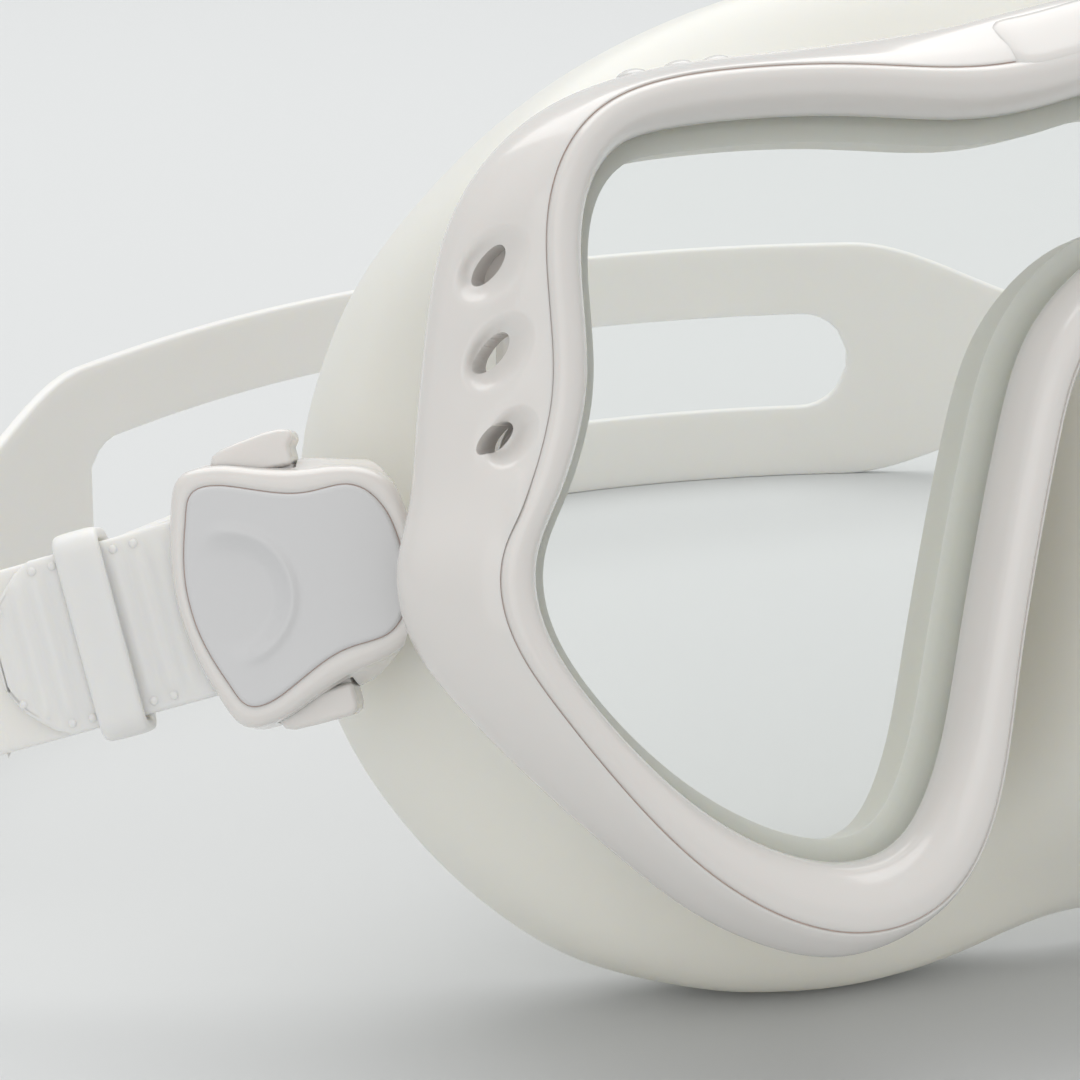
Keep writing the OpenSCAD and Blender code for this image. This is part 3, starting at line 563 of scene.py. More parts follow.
def frame_row(i):
    """A closed section of the frame: its rounded front face, then the hollow back."""
    w0, w1, y1 = bezel_width(i), frame_width[i], edge_depth(i)
    deep = max(0.0, min(1.0, (w1 - w0 - 6) / 4))
    n0, n1 = mix(3.4, w1 - 1.2, 0.3), mix(3.4, w1 - 1.2, 0.86)
    a, b = Vector((w0 + 0.36, PART_Y + 0.1)), Vector((w1, y1 + 1.2))
    front = [(w0 + 0.04, PART_Y + 0.45), (w0 + 0.1, PART_Y + 0.16), a]
    front += [(mix(a.x, b.x, u), mix(a.y, b.y, v)) for u, v in FACE_BOW]
    front += [b, (w1 - 0.3, y1 + 2.9), (w1 - 0.9, FRAME_BACK - 0.5)]
    face = along([Vector(p) for p in front], FACE)
    back = [(w1 - 1.3, FRAME_BACK), (n1 + 0.3, FRAME_BACK), (n1, FRAME_BACK - 0.3),
            (n1, mix(FRAME_BACK, y1 + 3.3, deep)), (n0, mix(FRAME_BACK, mix(PART_Y, y1, 0.3) + 4.6, deep)),
            (n0, FRAME_BACK - 0.3), (n0 - 0.2, FRAME_BACK), (3.4, FRAME_BACK), (3.4, 6.15), (4.45, 6.15),
            (4.45, -1.3), (w0 + 0.04, -1.3)]
    return section_at(i, face + back)


frame_mesh = wrap_rows([frame_row(i) for i in range(STATIONS)])
print("frame skin", len(frame_mesh.faces), "faces")

# %% [markdown]
# ### Three dished holes in each wing
# A finger would feel a shallow leaf-shaped hollow that rolls over into the hole with no edge. So the skin is
# divided finely just there, and each corner sinks by a rounded rule. Only then do cylinders cut the holes,
# low inside the hollows, where the cut's edge is out of the light.

# %% Hollows
WING_SLANT, DISH_LONG, DISH_SHORT = 0.81, 4.5, 2.75
TILT_COS, TILT_SIN = 0.74, 0.67  # of the dish's long axis


def leaf(p, hole):
    """Distance from a hole's middle as a share of its dish, measured in the wing's slanted face."""
    x, z, size = hole
    dx, dz = (abs(p.x) - x) / WING_SLANT, p.z - z
    long, short = dx * TILT_COS - dz * TILT_SIN, dx * TILT_SIN + dz * TILT_COS
    return math.hypot((long - 0.25) / (DISH_LONG * size), (short - 0.15) / (DISH_SHORT * size))


def sunk(p):
    """How deep the face sinks at p: a steep soft dish in a shallow wide one."""
    return sum(0.3 * ease((1.75 - share) / 0.9) + 2.3 * ease((1.12 - share) / 0.8)
               for share in [leaf(p, hole) for hole in HOLES])


def ridge_at(p):
    """How far a soft ridge stands up at p. It runs down from the lowest hole and fades out."""
    top, low = Vector((75.6, 9.6)), Vector((77.6, 1.0))
    q, run = Vector((abs(p.x), p.z)) - top, low - top
    t = q.dot(run) / run.length_squared
    return 0.5 * math.exp(-((q - run * t).length / 0.8) ** 2) * ease((t + 0.12) / 0.3) * ease((1.25 - t) / 0.5)


def near_hole(p, reach):
    return any(leaf(p, hole) < reach for hole in HOLES)


front_edges = [e for e in frame_mesh.edges
               if all(near_hole(v.co, 1.5) and v.normal.y < -0.2 and v.co.y < 3.5 for v in e.verts)]
bmesh.ops.subdivide_edges(frame_mesh, edges=front_edges, cuts=3, use_grid_fill=True)
frame_mesh.normal_update()
for v in frame_mesh.verts:
    if v.normal.y < -0.1 and v.co.y < 3.9:
        v.co.y += (sunk(v.co) if near_hole(v.co, 1.8) else 0) - ridge_at(v.co)
print("divided", len(front_edges), "edges; now", len(frame_mesh.faces), "faces")


# %% Cut with other meshes
def cut(mesh, cutters):
    """The mesh with each cutter taken out of it. All are bmeshes in the same frame."""
    target = as_object(mesh)
    tools = [as_object(cutter) for cutter in cutters]
    for tool in tools:
        step = target.modifiers.new("cut", "BOOLEAN")
        step.operation, step.solver, step.object = "DIFFERENCE", "EXACT", tool
    result = applied(target)
    for tool in tools:
        bpy.data.objects.remove(tool)
    return result


def rod(radius, length, place, scale=(1, 1, 1)):
    """A rod along z, centred where place says."""
    mesh = bmesh.new()
    bmesh.ops.create_cone(mesh, cap_ends=True, segments=48, radius1=radius, radius2=radius, depth=length)
    bmesh.ops.scale(mesh, vec=scale, verts=mesh.verts)
    return moved(mesh, place)


def turned(axis, degrees):
    return Matrix.Rotation(math.radians(degrees), 4, axis)


HOLE_LONG, HOLE_SHORT = 2.6, 1.2
holes = []
for side in (-1, 1):
    for x, z, size in HOLES:
        aim = mirrored(side) @ Matrix.Translation((x, 0.4, z + 0.1)) @ turned("Z", 40) @ turned("Y", 42)
        aim = aim @ turned("X", 90) @ Matrix.Translation((0, 0, 1))  # stops short of the inner wall
        holes.append(rod(1, 10, aim, (HOLE_LONG * size, HOLE_SHORT * size, 1)))
frame_mesh = cut(frame_mesh, holes)
print("cut", len(holes), "holes; now", len(frame_mesh.faces), "faces")


# %% Lugs and brow stops
def join(into, part):
    """Adds one mesh to another."""
    data = bpy.data.meshes.new("part")
    part.to_mesh(data)
    part.free()
    into.from_mesh(data)
    bpy.data.meshes.remove(data)


LUG_RADIUS, LUG_ARM, LUG_THICK = 3.4, 18, 2.2
BROW_STOPS = (3.43, 3.68, 3.96)  # counted in points of the outline


def lug(side):
    """The plate behind a wing that holds the pivot pin: a round end on a straight arm."""
    mesh = bmesh.new()
    place = mirrored(side) @ Matrix.Translation((79.7, 20, 3.9)) @ turned("Y", 90)
    bmesh.ops.create_circle(mesh, cap_ends=True, segments=48, radius=LUG_RADIUS)
    for v in mesh.verts:
        if v.co.y < -0.1:
            v.co = (math.copysign(LUG_RADIUS, v.co.x) if abs(v.co.x) > 0.1 else 0, -LUG_ARM, 0)
    bmesh.ops.remove_doubles(mesh, verts=mesh.verts, dist=0.001)
    draw_out(mesh, (0, 0, LUG_THICK))
    bmesh.ops.translate(mesh, vec=(0, 0, -LUG_THICK / 2), verts=mesh.verts)
    round_edges(mesh, SQUARE, 0.3, 3)
    return moved(mesh, place)


def brow_stop(side, station):
    """A low pad on the frame's top edge, like half a pill."""
    i = round(station * STEPS)
    p = rim_at(i, frame_width[i] - 0.45, 4.6)
    mesh = bmesh.new()
    bmesh.ops.create_uvsphere(mesh, u_segments=32, v_segments=20, radius=1)
    bmesh.ops.scale(mesh, vec=(1.75, 2.6, 1.05), verts=mesh.verts)
    bmesh.ops.translate(mesh, vec=(side * p.x, p.y, p.z), verts=mesh.verts)
    return mesh


for side in (-1, 1):
    join(frame_mesh, lug(side))
    for station in BROW_STOPS:
        join(frame_mesh, brow_stop(side, station))
piece("frame_skin", frame_mesh, shell_white, FRONT, "mask", "frame", sharp=50)

# %% [markdown]
# ## The bezel
# A fat roll with its crest near the outside. Its inner side slopes down to the glass and its outer side drops
# straight beside the frame.

# %% Bezel
def bezel_row(i):
    w = bezel_width(i)
    profile = [(0.0, -0.15), (0.12, -1.6), (0.75, -3.6), (w * 0.36, -5.25), (w * 0.66, -5.9), (w * 0.88, -5.7),
               (w - 0.16, -5.22), (w, -4.75)]
    roll = along([Vector(p) for p in profile], 30)
    return section_at(i, roll + [(w, -1.3), (0.5, -1.3), (0.45, -0.15)])


bezel_mesh = wrap_rows([bezel_row(i) for i in range(STATIONS)])
piece("bezel_skin", bezel_mesh, shell_white, FRONT, "mask", "bezel")

# %% Painted shade in the seam between frame and bezel
def seam_place(i, j):
    """A narrow strip of painted shade at the bottom of the groove."""
    return rim_at(i, bezel_width(i) - 0.05 + 0.2 * j, PART_Y + 0.2)


# painted shade: this warm strip stands for the shade deep in the groove between frame and bezel
piece("bezel_seam_painted_shade", wrap_grid(STATIONS, 1, seam_place), seam_painted_shade, FRONT, "mask")

# %% [markdown]
# ## The brow clip
# A soft pad at the top of the brow that locks bezel and frame together. It laps over the groove between them,
# and its ends sink back into the frame. It is one roll of skin along the brow, closed at both ends.

# %% Brow clip
CLIP = 18  # stations each side of the middle
CLIP_TOP = [(3.4, -5.6), (4.2, -5.72), (5.1, -5.42), (6.2, -4.75), (7.6, -3.75), (8.9, -2.6), (9.9, -1.3),
            (10.2, -0.3)]


def clip_row(k):
    """A closed section of the pad at station k. Toward the ends it shrinks into the frame."""
    i = k - CLIP
    end = math.sqrt(1 - min(1.0, abs(i) / (CLIP - 0.5)) ** 24) if abs(i) < CLIP - 0.5 else 0
    size = 0.25 + 0.75 * end
    section = along([Vector(p) for p in CLIP_TOP], 22) + [(9.6, 0.2), (8.2, -0.8), (6.0, -2.2), (4.2, -3.4)]
    return section_at(i, [(mix(6.8, n, size), mix(-2.3, y, size)) for n, y in section])


clip_rows = [clip_row(k) for k in range(2 * CLIP + 1)]
clip_mesh = close_ends(wrap_grid(2 * CLIP, len(clip_rows[0]), lambda k, j: clip_rows[k][j % len(clip_rows[0])]))
piece("brow_clip_pad", clip_mesh, shell_white, FRONT, "mask", "brow_clip", sharp=60)

# %% [markdown]
# ## The glass
# A flat plate cut to the opening and ground smooth round its edge. The outline is filled as one face, drawn out
# to its thickness and bevelled. Its faces stay flat: if their shading ran into the bevel, the view would bend.

# %% Glass
glass_mesh = bmesh.new()
bmesh.ops.create_circle(glass_mesh, cap_ends=True, segments=STATIONS, radius=1)
glass_mesh.verts.ensure_lookup_table()
for i, v in enumerate(glass_mesh.verts):
    v.co = rim_at(i, 2.6, 0)
draw_out(glass_mesh, (0, GLASS, 0))
round_edges(glass_mesh, SQUARE, 0.25, 2)
piece("glass_plate", glass_mesh, clear_glass, FRONT, "mask", "lens", sharp=12)

# %% [markdown]
# ## The buckles
# Each buckle is a rounded body with a waist. Its front rim frames a cover plate, so both take their shape from
# the same kind of outline. The body is a stack of outlines from front to back, bridged like the ribs of a boat.
# Its strap, tabs and pin need room, so their places are cut out of it, and each tab rests on a leaf of steel.

# %% Outlines of a buckle
RIM = [(-2.5, 0), (-2.3, 3.6), (-1.7, 6.8), (-0.5, 8.4), (0.9, 9.4), (2.6, 10.1), (4.6, 10.6), (6.8, 10.9),
       (8.8, 11.3), (10.8, 11.9), (12.8, 12.6), (14.5, 13.3), (16.5, 13.9), (18.6, 14.1), (20.2, 13.8),
       (21.3, 12.6), (22.2, 10.2), (23.2, 6.6), (23.8, 3), (24, 0)]
BODY = [(-2.5, 0), (-2.4, 3.8), (-2, 7.4), (-1, 9.3), (0.6, 10.3), (2.4, 10.9), (4.4, 11.5), (6.6, 12.2),
        (8.6, 12.6), (10.6, 12.8), (12.7, 13.2), (14.5, 13.7), (16.5, 14.3), (18.6, 14.5), (20.3, 14.2),
        (21.5, 12.9), (22.4, 10.4), (23.3, 6.8), (23.8, 3), (24, 0)]
PLATE = [(-0.6, 0), (-0.5, 2.3), (-0.1, 4.4), (0.8, 6.3), (1.9, 7.5), (3.3, 8.2), (5, 8.35), (7.2, 8.4),
         (9, 8.7), (10.8, 9.3), (12.7, 10.1), (14.5, 10.9), (16.3, 11.6), (18.1, 11.9), (19.3, 11.6),
         (20, 10.7), (20.6, 9), (21.4, 6.7), (22, 4.5), (22.4, 2.2), (22.5, 0)]
AROUND = 160


def even_loop(half):
    """AROUND evenly spaced places on the closed curve through a half outline and its mirror image."""
    fine = closed_curve(half, (1, -1), 20)
    run = lengths_along(fine + fine[:1])
    places, j = [], 0
    for k in range(AROUND):
        want = run[-1] * k / AROUND
        while run[j + 1] < want:
            j += 1
        places.append(mix(fine[j], fine[(j + 1) % len(fine)], (want - run[j]) / (run[j + 1] - run[j])))
    return evened(places, 2)


rim_loop, body_loop, plate_loop = even_loop(RIM), even_loop(BODY), even_loop(PLATE)


def drawn_in(loop, d):
    """The same loop a distance d further in."""
    inner = []
    for i, p in enumerate(loop):
        t = (loop[(i + 1) % len(loop)] - loop[i - 1]).normalized()
        inner.append(p + Vector((t.y, -t.x)) * d)
    return inner


def between(a, b, t):
    return [mix(p, q, t) for p, q in zip(a, b)]


def bridged(rings):
    """An open skin over rings (loop, depth)."""
    def place(i, j):
        loop, y = rings[j]
        return Vector((loop[i % AROUND].x, y, loop[i % AROUND].y))

    return wrap_grid(AROUND, len(rings) - 1, place)


def stack(rings):
    """A closed skin over rings, with a flat lid on the first and the last."""
    return close_ends(bridged(rings))


print("loops of", AROUND, "places")

# %% Housing
FRONT_Y = -6.3
SEAT_Y = FRONT_Y + 1.4
seat_loop = drawn_in(plate_loop, -0.06)


WALL_ROWS = 8


def housing():
    """The body of a buckle with its seat for the cover, in the buckle's own frame."""
    crest = between(seat_loop, rim_loop, 0.42)
    below = [(seat_loop, 0.3), (drawn_in(seat_loop, -0.04), 0.16), (drawn_in(seat_loop, -0.14), 0.06),
             (between(seat_loop, crest, 0.6), 0.01), (crest, 0), (between(crest, rim_loop, 0.4), 0.1),
             (between(crest, rim_loop, 0.68), 0.34), (drawn_in(rim_loop, 0.12), 0.78), (rim_loop, 1.5)]
    rings = [(seat_loop, SEAT_Y)] + [(loop, FRONT_Y + y) for loop, y in below]
    for k in range(1, WALL_ROWS + 1):
        t = k / WALL_ROWS
        rings.append((between(rim_loop, body_loop, ease(t)), mix(FRONT_Y + 1.5, 1.2, t)))
    rings += [(body_loop, 3.0), (body_loop, 4.3)]
    for k in range(1, WALL_ROWS + 1):
        a = math.radians(90 * k / WALL_ROWS)
        rings.append((drawn_in(body_loop, 1.4 * (1 - math.cos(a))), 4.3 + 2.0 * math.sin(a)))
    return stack(rings)


def box(x0, x1, y0, y1, z0, z1, soft=0.0):
    """A block with its edges rounded by soft."""
    mesh = bmesh.new()
    bmesh.ops.create_cube(mesh, size=1)
    bmesh.ops.scale(mesh, vec=(x1 - x0, y1 - y0, z1 - z0), verts=mesh.verts)
    bmesh.ops.translate(mesh, vec=((x0 + x1) / 2, (y0 + y1) / 2, (z0 + z1) / 2), verts=mesh.verts)
    if soft:
        round_edges(mesh, SQUARE, soft, 4)
    return mesh


BAR_X, CAVITY, CAVITY_Z = 17.0, 4.0, 9.9
TAB_X, TAB_Z, RECESS_Z = 10.2, 13.0, 10.2


def housing_cutters(side):
    """Way in for the strap, recesses of the tabs, the coned flat beside the lug and the bore for the pin."""
    tools = [box(BAR_X, 40, -CAVITY, CAVITY, -CAVITY_Z, CAVITY_Z, 0.6),
             rod(CAVITY, 2 * CAVITY_Z, Matrix.Translation((BAR_X, 0, 0)))]
    for end in (-1, 1):
        for length, depth in [(7.1, RECESS_Z + 1.1), (4.9, RECESS_Z)]:  # shallow over the roller's journal
            z0, z1 = sorted((end * depth, end * (TAB_Z + 4)))
            tools.append(box(TAB_X - 1.9, TAB_X + length, -3.2, 3.2, z0, z1, 0.4))
        for half_y, low, high in [(3.1, 6, 8.55), (2.4, 7, 12)]:
            z0, z1 = sorted((end * low, end * high))
            tools.append(box(TAB_X - 1.7, TAB_X + 1.7, -half_y, half_y, z0, z1))
    cone = bmesh.new()
    first = [cone.verts.new((r, 0, h)) for r, h in [(0, 0), (4.6, 0), (18, 5.36), (18, -12), (0, -12)]]
    outline = [cone.edges.new(pair) for pair in zip(first, first[1:])]
    bmesh.ops.spin(cone, geom=first + outline, axis=(0, 0, 1), cent=(0, 0, 0), steps=64, angle=math.tau,
                   use_merge=True)
    bmesh.ops.remove_doubles(cone, verts=cone.verts, dist=GRID_MERGE)
    bmesh.ops.recalc_face_normals(cone, faces=cone.faces)
    metres = Matrix.Scale(MM, 4)
    pins = buckle(side).inverted() @ Matrix.Translation(hinge) @ mirrored(side) @ turned("Y", 90)
    place = metres.inverted() @ pins @ Matrix.Translation((0, 0, PIVOT_X)) @ metres  # slants across the buckle
    bmesh.ops.transform(cone, matrix=place, verts=cone.verts)
    tools.append(cone)
    tools.append(rod(2.05, 6.6, place @ Matrix.Translation((0, 0, 2.3))))
    return tools


# %% Cover with its thumb crescent
LID_ROWS = 39
THUMB_X, THUMB_RADIUS = 18.4, 6.9


def inside_edge(p):
    """0 at the edge of the cover, rising to 1 a little way inside it."""
    flat = Vector((p.x, p.z))
    return ease(min((flat - q).length for q in plate_loop) / 1.6)


def cover():
    """A plate with a rolled edge. A raised crescent and a slight hollow beyond it give the thumb a grip."""
    top = FRONT_Y - 0.25
    rings = [(plate_loop, SEAT_Y - 0.15), (plate_loop, top + 0.42), (drawn_in(plate_loop, 0.05), top + 0.2),
             (drawn_in(plate_loop, 0.17), top + 0.07), (drawn_in(plate_loop, 0.4), top)]
    edge = rings[-1][0]
    middle = [Vector((mix(11, p.x, 0.35), 0)) for p in edge]
    rings += [(between(edge, middle, k / LID_ROWS), top) for k in range(1, LID_ROWS + 1)]
    mesh = stack(rings)
    for v in mesh.verts:
        if v.co.y < top + 0.05:
            d = math.hypot(v.co.x - THUMB_X, v.co.z) - THUMB_RADIUS
            ridge = 0.32 * math.exp(-(d / 0.6) ** 2) * ease((19.6 - v.co.x) / 3.5)
            hollow = 0.5 * ease(-d / 2.4) * ease((22.2 - v.co.x) / 7) * ease((9.5 - abs(v.co.z)) / 5)
            v.co.y += (hollow - ridge) * inside_edge(v.co)
    return mesh


# %% Release tab
HEAD = [(-1.7, -1.1), (3.5, -1.1), (4.7, 0), (6.9, 0.2)]
HEAD_TOP = {"upper": [(6.9, 1.3), (6.5, 2), (5.5, 2.45), (3.4, 2.75), (0.6, 3), (-1.1, 2.95), (-2.1, 2.6),
                      (-2.5, 1.8), (-1.75, 0.9)],
            "lower": [(6.9, 1.1), (6.5, 1.9), (5.6, 2.3), (3, 2.4), (-0.7, 2.4), (-1.4, 2), (-1.7, 1.2)]}


def tab(end):
    """A thumb piece with a sloped outer end, on a stem that goes into the housing. The lower one is smaller,
    because it passes close to the skirt."""
    mesh = bmesh.new()
    mesh.faces.new([mesh.verts.new((TAB_X + x, -3, TAB_Z + h)) for x, h in HEAD + HEAD_TOP[end]])
    draw_out(mesh, (0, 6, 0))
    round_edges(mesh, 60, 0.6, 6)
    join(mesh, box(TAB_X - 1.5, TAB_X + 1.5, -2.2, 2.2, 7.7, TAB_Z + 0.3, 0.2))
    join(mesh, box(TAB_X - 1.5, TAB_X + 1.5, -2.9, 2.9, 7.6, 8.4, 0.15))
    if end == "lower":
        bmesh.ops.scale(mesh, vec=(1, 1, -1), verts=mesh.verts)
        bmesh.ops.reverse_faces(mesh, faces=mesh.faces)
    return mesh


# %% Leaf spring under a tab
POCKET_Z, LEAF_TOP = 6.0, 7.55
LEAF_HALF, LEAF_RISE, LEAF_THICK, LEAF_WIDE, LEAF_STEPS = 2.6, 1.4, 0.25, 2.6, 24


def leaf_spring(up):
    """A bowed strip of steel between the pocket's floor and the lip of the tab. up is 1 or -1."""
    radius = (LEAF_HALF * LEAF_HALF + LEAF_RISE * LEAF_RISE) / (2 * LEAF_RISE)
    reach = math.asin(LEAF_HALF / radius)

    def place(i, j):
        a = mix(-reach, reach, i / LEAF_STEPS)
        r = radius - (LEAF_THICK if j in (2, 3) else 0)
        x = TAB_X + (LEAF_WIDE / 2 if j in (1, 2) else -LEAF_WIDE / 2)
        return Vector((x, r * math.sin(a), up * (LEAF_TOP - radius + r * math.cos(a))))

    return close_ends(wrap_grid(LEAF_STEPS, 4, place))


# %% Build both buckles
SIDES = {"left": -1, "right": 1}
# painted shade: a warm ring in the gap between each cover and its housing stands for the shade there
seam_loops = [(drawn_in(plate_loop, d), FRONT_Y + 0.24) for d in (0.1, -0.16)]
for name, side in SIDES.items():
    at = buckle(side)
    body = cut(housing(), housing_cutters(side))
    piece("buckle_body_" + name, body, shell_white, at, "headband", "buckle_housing_" + name, sharp=45)
    piece("buckle_plate_" + name, cover(), cover_grey, at, "headband", "buckle_cover_" + name)
    piece("buckle_seam_painted_shade_" + name, bridged(seam_loops), seam_painted_shade, at, "headband")
    for end, up in [("upper", 1), ("lower", -1)]:
        piece(f"release_key_{name}_{end}", tab(end), shell_white, at, f"tab_{name}_{end}",
              f"release_tab_{name}_{end}", sharp=45)
        spring = piece(f"tab_leaf_{name}_{end}", leaf_spring(up), steel, at, "headband",
                       "tab_springs_" + name)
        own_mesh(spring)

# %% [markdown]
# ## The strap
# One long silicone band. From the tip of each tail it runs back under its keeper, round the roller and out
# again, twists upright, and sweeps round the head, where it splits in two bands. The line of its middle comes
# first, then a sheet along that line with the slot left open, and only then its thickness and rounded edges.

# %% The line through the middle of the strap
REACH, LAYER, FOLD, STRAIGHT_END = 205.0, 1.1, 2.8, 47.0
STRAP_HALF, PAD_HALF, SLOT_HALF, SLOT_LENGTH, SLOT_MID, SHIFT = 9.6, 20.0, 8.0, 156.0, -41.0, 30.0
PLAN = [(138, 0.13), (146.5, 0.235), (144, 0.4), (131, 0.575), (107, 0.745), (75, 0.888), (38, 0.972), (0, 1),
        (-38, 0.972)]  # the loop from above: x, and y as a share of REACH
FREE_STEPS, FOLD_STEPS = 24, 24
right_buckle = from_hinge(1)
height = hinge.z / MM


def even(points, step, rounds):
    """Places about step apart along the points, with its corners eased."""
    line = [points[0]]
    for a, b in zip(points, points[1:]):
        count = max(1, round((b - a).length / step))
        line += [mix(a, b, k / count) for k in range(1, count + 1)]
    for _ in range(rounds):
        eased = [(a + 2 * b + c) / 4 for a, b, c in zip(line, line[1:], line[2:])]
        line = [line[0], *eased, line[-1]]
    return line


spread = [(20, FOLD), (23.5, 2.375), (26.6, 1.185), (29, LAYER), (38, LAYER)]
tail_line = [Vector((45, -LAYER, 0))] + [Vector((u, -y, 0)) for u, y in reversed(spread)]
fold_line = [Vector((BAR_X + FOLD * math.cos(a), FOLD * math.sin(a), 0))
             for a in [math.radians(-90 - 180 * k / FOLD_STEPS) for k in range(FOLD_STEPS + 1)]]
near_line = [Vector((u, y, 0)) for u, y in spread] + [Vector((STRAIGHT_END, LAYER, 0))]
local_line = even(tail_line + fold_line + near_line, 0.3, 20)

start = right_buckle @ Vector((STRAIGHT_END, LAYER, 0))
slope = math.tan(DROOP) / math.sin(SWING)
fall = PAD_HALF - height - start.z


def free_height(y):
    u = max(0.0, min(1.0, (y - start.y) / (REACH - start.y)))
    return start.z + fall * (1 - (1 - u) ** (slope * (REACH - start.y) / -fall))


knots = [right_buckle @ Vector((STRAIGHT_END - 8, LAYER, 0)), start]
knots += [Vector((x, y * REACH, 0)) for x, y in PLAN]
free_line = []
for k in range(1, (len(PLAN) - 1) * FREE_STEPS):
    i = k // FREE_STEPS + 1
    p = spline(*knots[i - 1:i + 3], k / FREE_STEPS - i + 1)
    free_line.append(Vector((p.x, p.y, free_height(p.y))))
right_line = [right_buckle @ p for p in local_line] + free_line
left_line = [Vector((-p.x, p.y, p.z)) for p in reversed(right_line)]
level = right_line + [Vector((0, REACH, PAD_HALF - height))] + left_line
COUNT_S, MIDDLE = len(level), len(right_line)
freed = [ease((p.y - start.y) / (REACH - start.y)) for p in level]
middle_line = [p + Vector((SHIFT * f, 0, 0)) for p, f in zip(level, freed)]
print("stations along the strap", COUNT_S)

# %% Its height, its slot and its turn
run = lengths_along(middle_line)
along_strap = [run[MIDDLE] - r for r in run]  # positive toward the right tail
up_right = (right_buckle @ Vector((0, 0, 1)) - right_buckle @ Vector((0, 0, 0))).normalized()
TIP = [(0, 0.3), (0.5, 0.44), (1.5, 0.62), (2.8, 0.77), (4.2, 0.9), (6, 1.0)]  # place, share of the height
PAD_WIDENS, TWIST_STEPS = 38, 57.6


def half_height(i):
    d = min(run[i], run[-1] - run[i])
    for (d0, h0), (d1, h1) in zip(TIP, TIP[1:]):
        if d <= d1 and d < TIP[-1][0]:
            return STRAP_HALF * mix(h0, h1, (d - d0) / (d1 - d0))
    pad = ease(1 - (abs(along_strap[i] - SLOT_MID) - SLOT_LENGTH / 2) / PAD_WIDENS)
    return mix(STRAP_HALF, PAD_HALF, pad)


def slot_depth(i):
    """How far station i is inside the slot's ends."""
    return SLOT_LENGTH / 2 - abs(along_strap[i] - SLOT_MID)


def half_slot(i):
    """Half the slot's height, round at its ends. Past them its lines run on and spread into the band."""
    d = slot_depth(i)
    if d > 0:
        return SLOT_HALF * math.sqrt(1 - max(0.0, 1 - d / SLOT_HALF) ** 2)
    return half_height(i) / 3 * ease(-d / 12)


def tangent(i):
    return (middle_line[min(i + 1, COUNT_S - 1)] - middle_line[max(i - 1, 0)]).normalized()


def upward(i):
    """The band's up at station i: the buckle's own at first, then it turns upright."""
    t = tangent(i)
    b = up_right if i < MIDDLE else Vector((-up_right.x, up_right.y, up_right.z))
    turn = ease((min(i, COUNT_S - 1 - i) - len(local_line)) / TWIST_STEPS)
    return mix((b - t * b.dot(t)), Vector((0, 0, 1)) - t * t.z, turn).normalized()


ups = [upward(i) for i in range(COUNT_S)]
lowest = min(p.z - half_height(i) * ups[i].z for i, p in enumerate(middle_line) if p.y > REACH * 0.7)
rise = -height - lowest
centre_line = [p + Vector((0, 0, rise * f)) for p, f in zip(middle_line, freed)]
print("the loop is lifted", round(rise, 2), "mm onto the table")

# %% Sheet with the slot open
BAND = [0, 0.13, 0.28, 0.43, 0.57, 0.72, 0.87, 1]
SLOT_FROM, SLOT_TO = 7, 13  # the rows between the two bands
ACROSS = SLOT_TO + 7


def strap_place(i, j):
    h, g = half_height(i), half_slot(i)
    if j <= SLOT_FROM:
        o = mix(-h, -g, BAND[j])
    elif j >= SLOT_TO:
        o = mix(g, h, BAND[j - SLOT_TO])
    else:
        o = mix(-g, g, (j - SLOT_FROM) / (SLOT_TO - SLOT_FROM))
    return centre_line[i] + ups[i] * o


sheet = bmesh.new()
bmesh.ops.create_grid(sheet, x_segments=COUNT_S - 1, y_segments=ACROSS, size=0.5)
open_faces = []
for f in sheet.faces:
    middle_of = f.calc_center_median()
    i, j = int((middle_of.x + 0.5) * (COUNT_S - 1)), int((middle_of.y + 0.5) * ACROSS)
    if SLOT_FROM <= j < SLOT_TO and slot_depth(i) > 0 and slot_depth(i + 1) > 0:
        open_faces.append(f)
for v in sheet.verts:
    v.co = strap_place(round((v.co.x + 0.5) * (COUNT_S - 1)), round((v.co.y + 0.5) * ACROSS))
bmesh.ops.delete(sheet, geom=open_faces, context="FACES")
bmesh.ops.remove_doubles(sheet, verts=sheet.verts, dist=0.02)
print("sheet", len(sheet.faces), "faces")

# %% Thickness and rounded edges
flat = as_object(sheet)
thick = flat.modifiers.new("thickness", "SOLIDIFY")
thick.thickness, thick.offset, thick.use_even_offset = 1.8, 0, True
strap_mesh = applied(flat)
bmesh.ops.recalc_face_normals(strap_mesh, faces=strap_mesh.faces)
round_edges(strap_mesh, 60, 0.5, 3)
print("strap", len(strap_mesh.faces), "faces")

# %% [markdown]
# ### Ribs and dots on the tails
# The tail is ribbed across so that it does not slip, with a row of dots near each edge. The ribs are a ripple
# in the skin. The dots are flattened balls, half sunk in the band. They are one piece with a finish of its
# own: so small a ball would lose the light that goes deep into the strap and look dark.

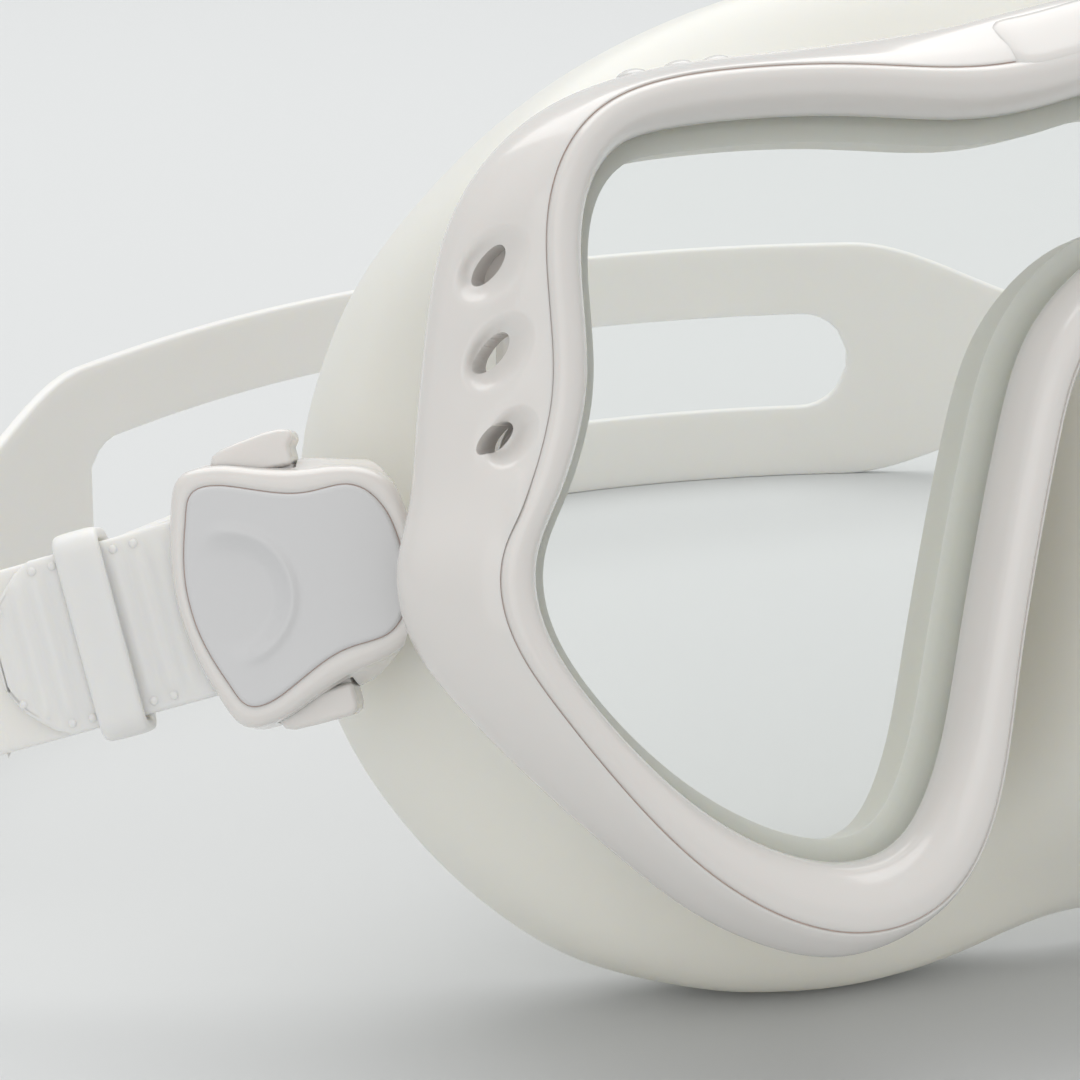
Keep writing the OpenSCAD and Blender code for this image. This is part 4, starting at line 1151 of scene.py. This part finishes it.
# %% Ribs and dots
PITCH, FIRST_RIB, DOTS, DOT_RADIUS = 2.28, 25.1, 9, 0.52
RIBS_FROM, RIBS_TO, RIB_HEIGHT = 21.5, 44.2, 0.26
DOT_EDGE, TAPER_FROM = STRAP_HALF - 1.25, 39.5
dots = bmesh.new()
for side in SIDES.values():
    there = from_hinge(side)
    back = there.inverted()
    out = (there @ Vector((0, -1, 0)) - there @ Vector((0, 0, 0))).normalized()
    for v in strap_mesh.verts:
        if v.co.x * side > 60 and v.co.y < 60:
            q = back @ v.co
            if RIBS_FROM < q.x < RIBS_TO and q.y < -1.7:
                ripple = 0.5 + 0.5 * math.cos(math.tau * (q.x - FIRST_RIB) / PITCH)
                v.co += out * RIB_HEIGHT * ripple * ease((8.2 - abs(q.z)) / 0.9) * ease((RIBS_TO - q.x) / 2)
    for k in range(DOTS):
        u = FIRST_RIB + PITCH * k
        edge = DOT_EDGE if u < TAPER_FROM else DOT_EDGE - (u - TAPER_FROM) * 0.85
        y = -LAYER - 0.86 - (0.1 if u < 28 else 0)
        for z in (-edge, edge):
            dot = bmesh.new()
            bmesh.ops.create_uvsphere(dot, u_segments=12, v_segments=8, radius=DOT_RADIUS)
            join(dots, moved(dot, there @ Matrix.Translation((u, y, z)) @ Matrix.Diagonal((1, 0.55, 1, 1))))
around_hinge = Matrix.Translation(hinge)
piece("strap_band", strap_mesh, strap_white, around_hinge, "headband", "strap", sharp=60)
piece("strap_dots", dots, dot_white, around_hinge, "headband")

# %% [markdown]
# ## The keepers
# A soft loop holds each tail down. Its outline is a rounded slot, and the section that goes round it is rounded
# too, so nothing about it has a hard edge.

# %% Keepers
KEEPER_X, KEEPER_HALF, KEEPER_THICK, ROUND, SECTION = 33.3, 2.5, 0.75, 120, 24


def slot_outline(half_y, half_z, radius, count):
    """count places round a rounded rectangle."""
    corners = []
    for cy, cz, a0 in [(1, 1, 0), (-1, 1, 90), (-1, -1, 180), (1, -1, 270)]:
        for k in range(9):
            a = math.radians(a0 + 90 * k / 8)
            corners.append(Vector((cy * (half_y - radius) + radius * math.cos(a),
                                   cz * (half_z - radius) + radius * math.sin(a), 0)))
    ring = even(corners + corners[:1], 0.4, 0)[:-1]
    return [ring[round(k * len(ring) / count) % len(ring)] for k in range(count)]


def keeper():
    outline = slot_outline(3.05, 10.65, 1.6, ROUND)
    section = [(KEEPER_HALF * math.copysign(abs(math.cos(a)) ** 0.45, math.cos(a)),
                KEEPER_THICK * math.copysign(abs(math.sin(a)) ** 0.6, math.sin(a)))
               for a in [math.tau * (k + 0.5) / SECTION for k in range(SECTION)]]

    def place(i, j):
        p = outline[i % ROUND]
        t = (outline[(i + 1) % ROUND] - outline[i - 1]).normalized()
        w, n = section[j % SECTION]
        return Vector((KEEPER_X + w, p.x + t.y * n, p.y - t.x * n))

    return wrap_grid(ROUND, SECTION, place)


for name, side in SIDES.items():
    piece("keeper_loop_" + name, keeper(), strap_white, buckle(side), "keeper_" + name,
          "strap_keeper_" + name)

# %% [markdown]
# ## The pieces that keep their plain mesh
# The pins and the rollers are simple turned parts, nearly hidden, so only their finish changes.

# %% Paint the pieces that keep their own mesh
for side in SIDES:
    for name, material in [("pivot_pin_", steel), ("strap_roller_", roller_white)]:
        frame["nodes"][name + side].data.materials[0] = material
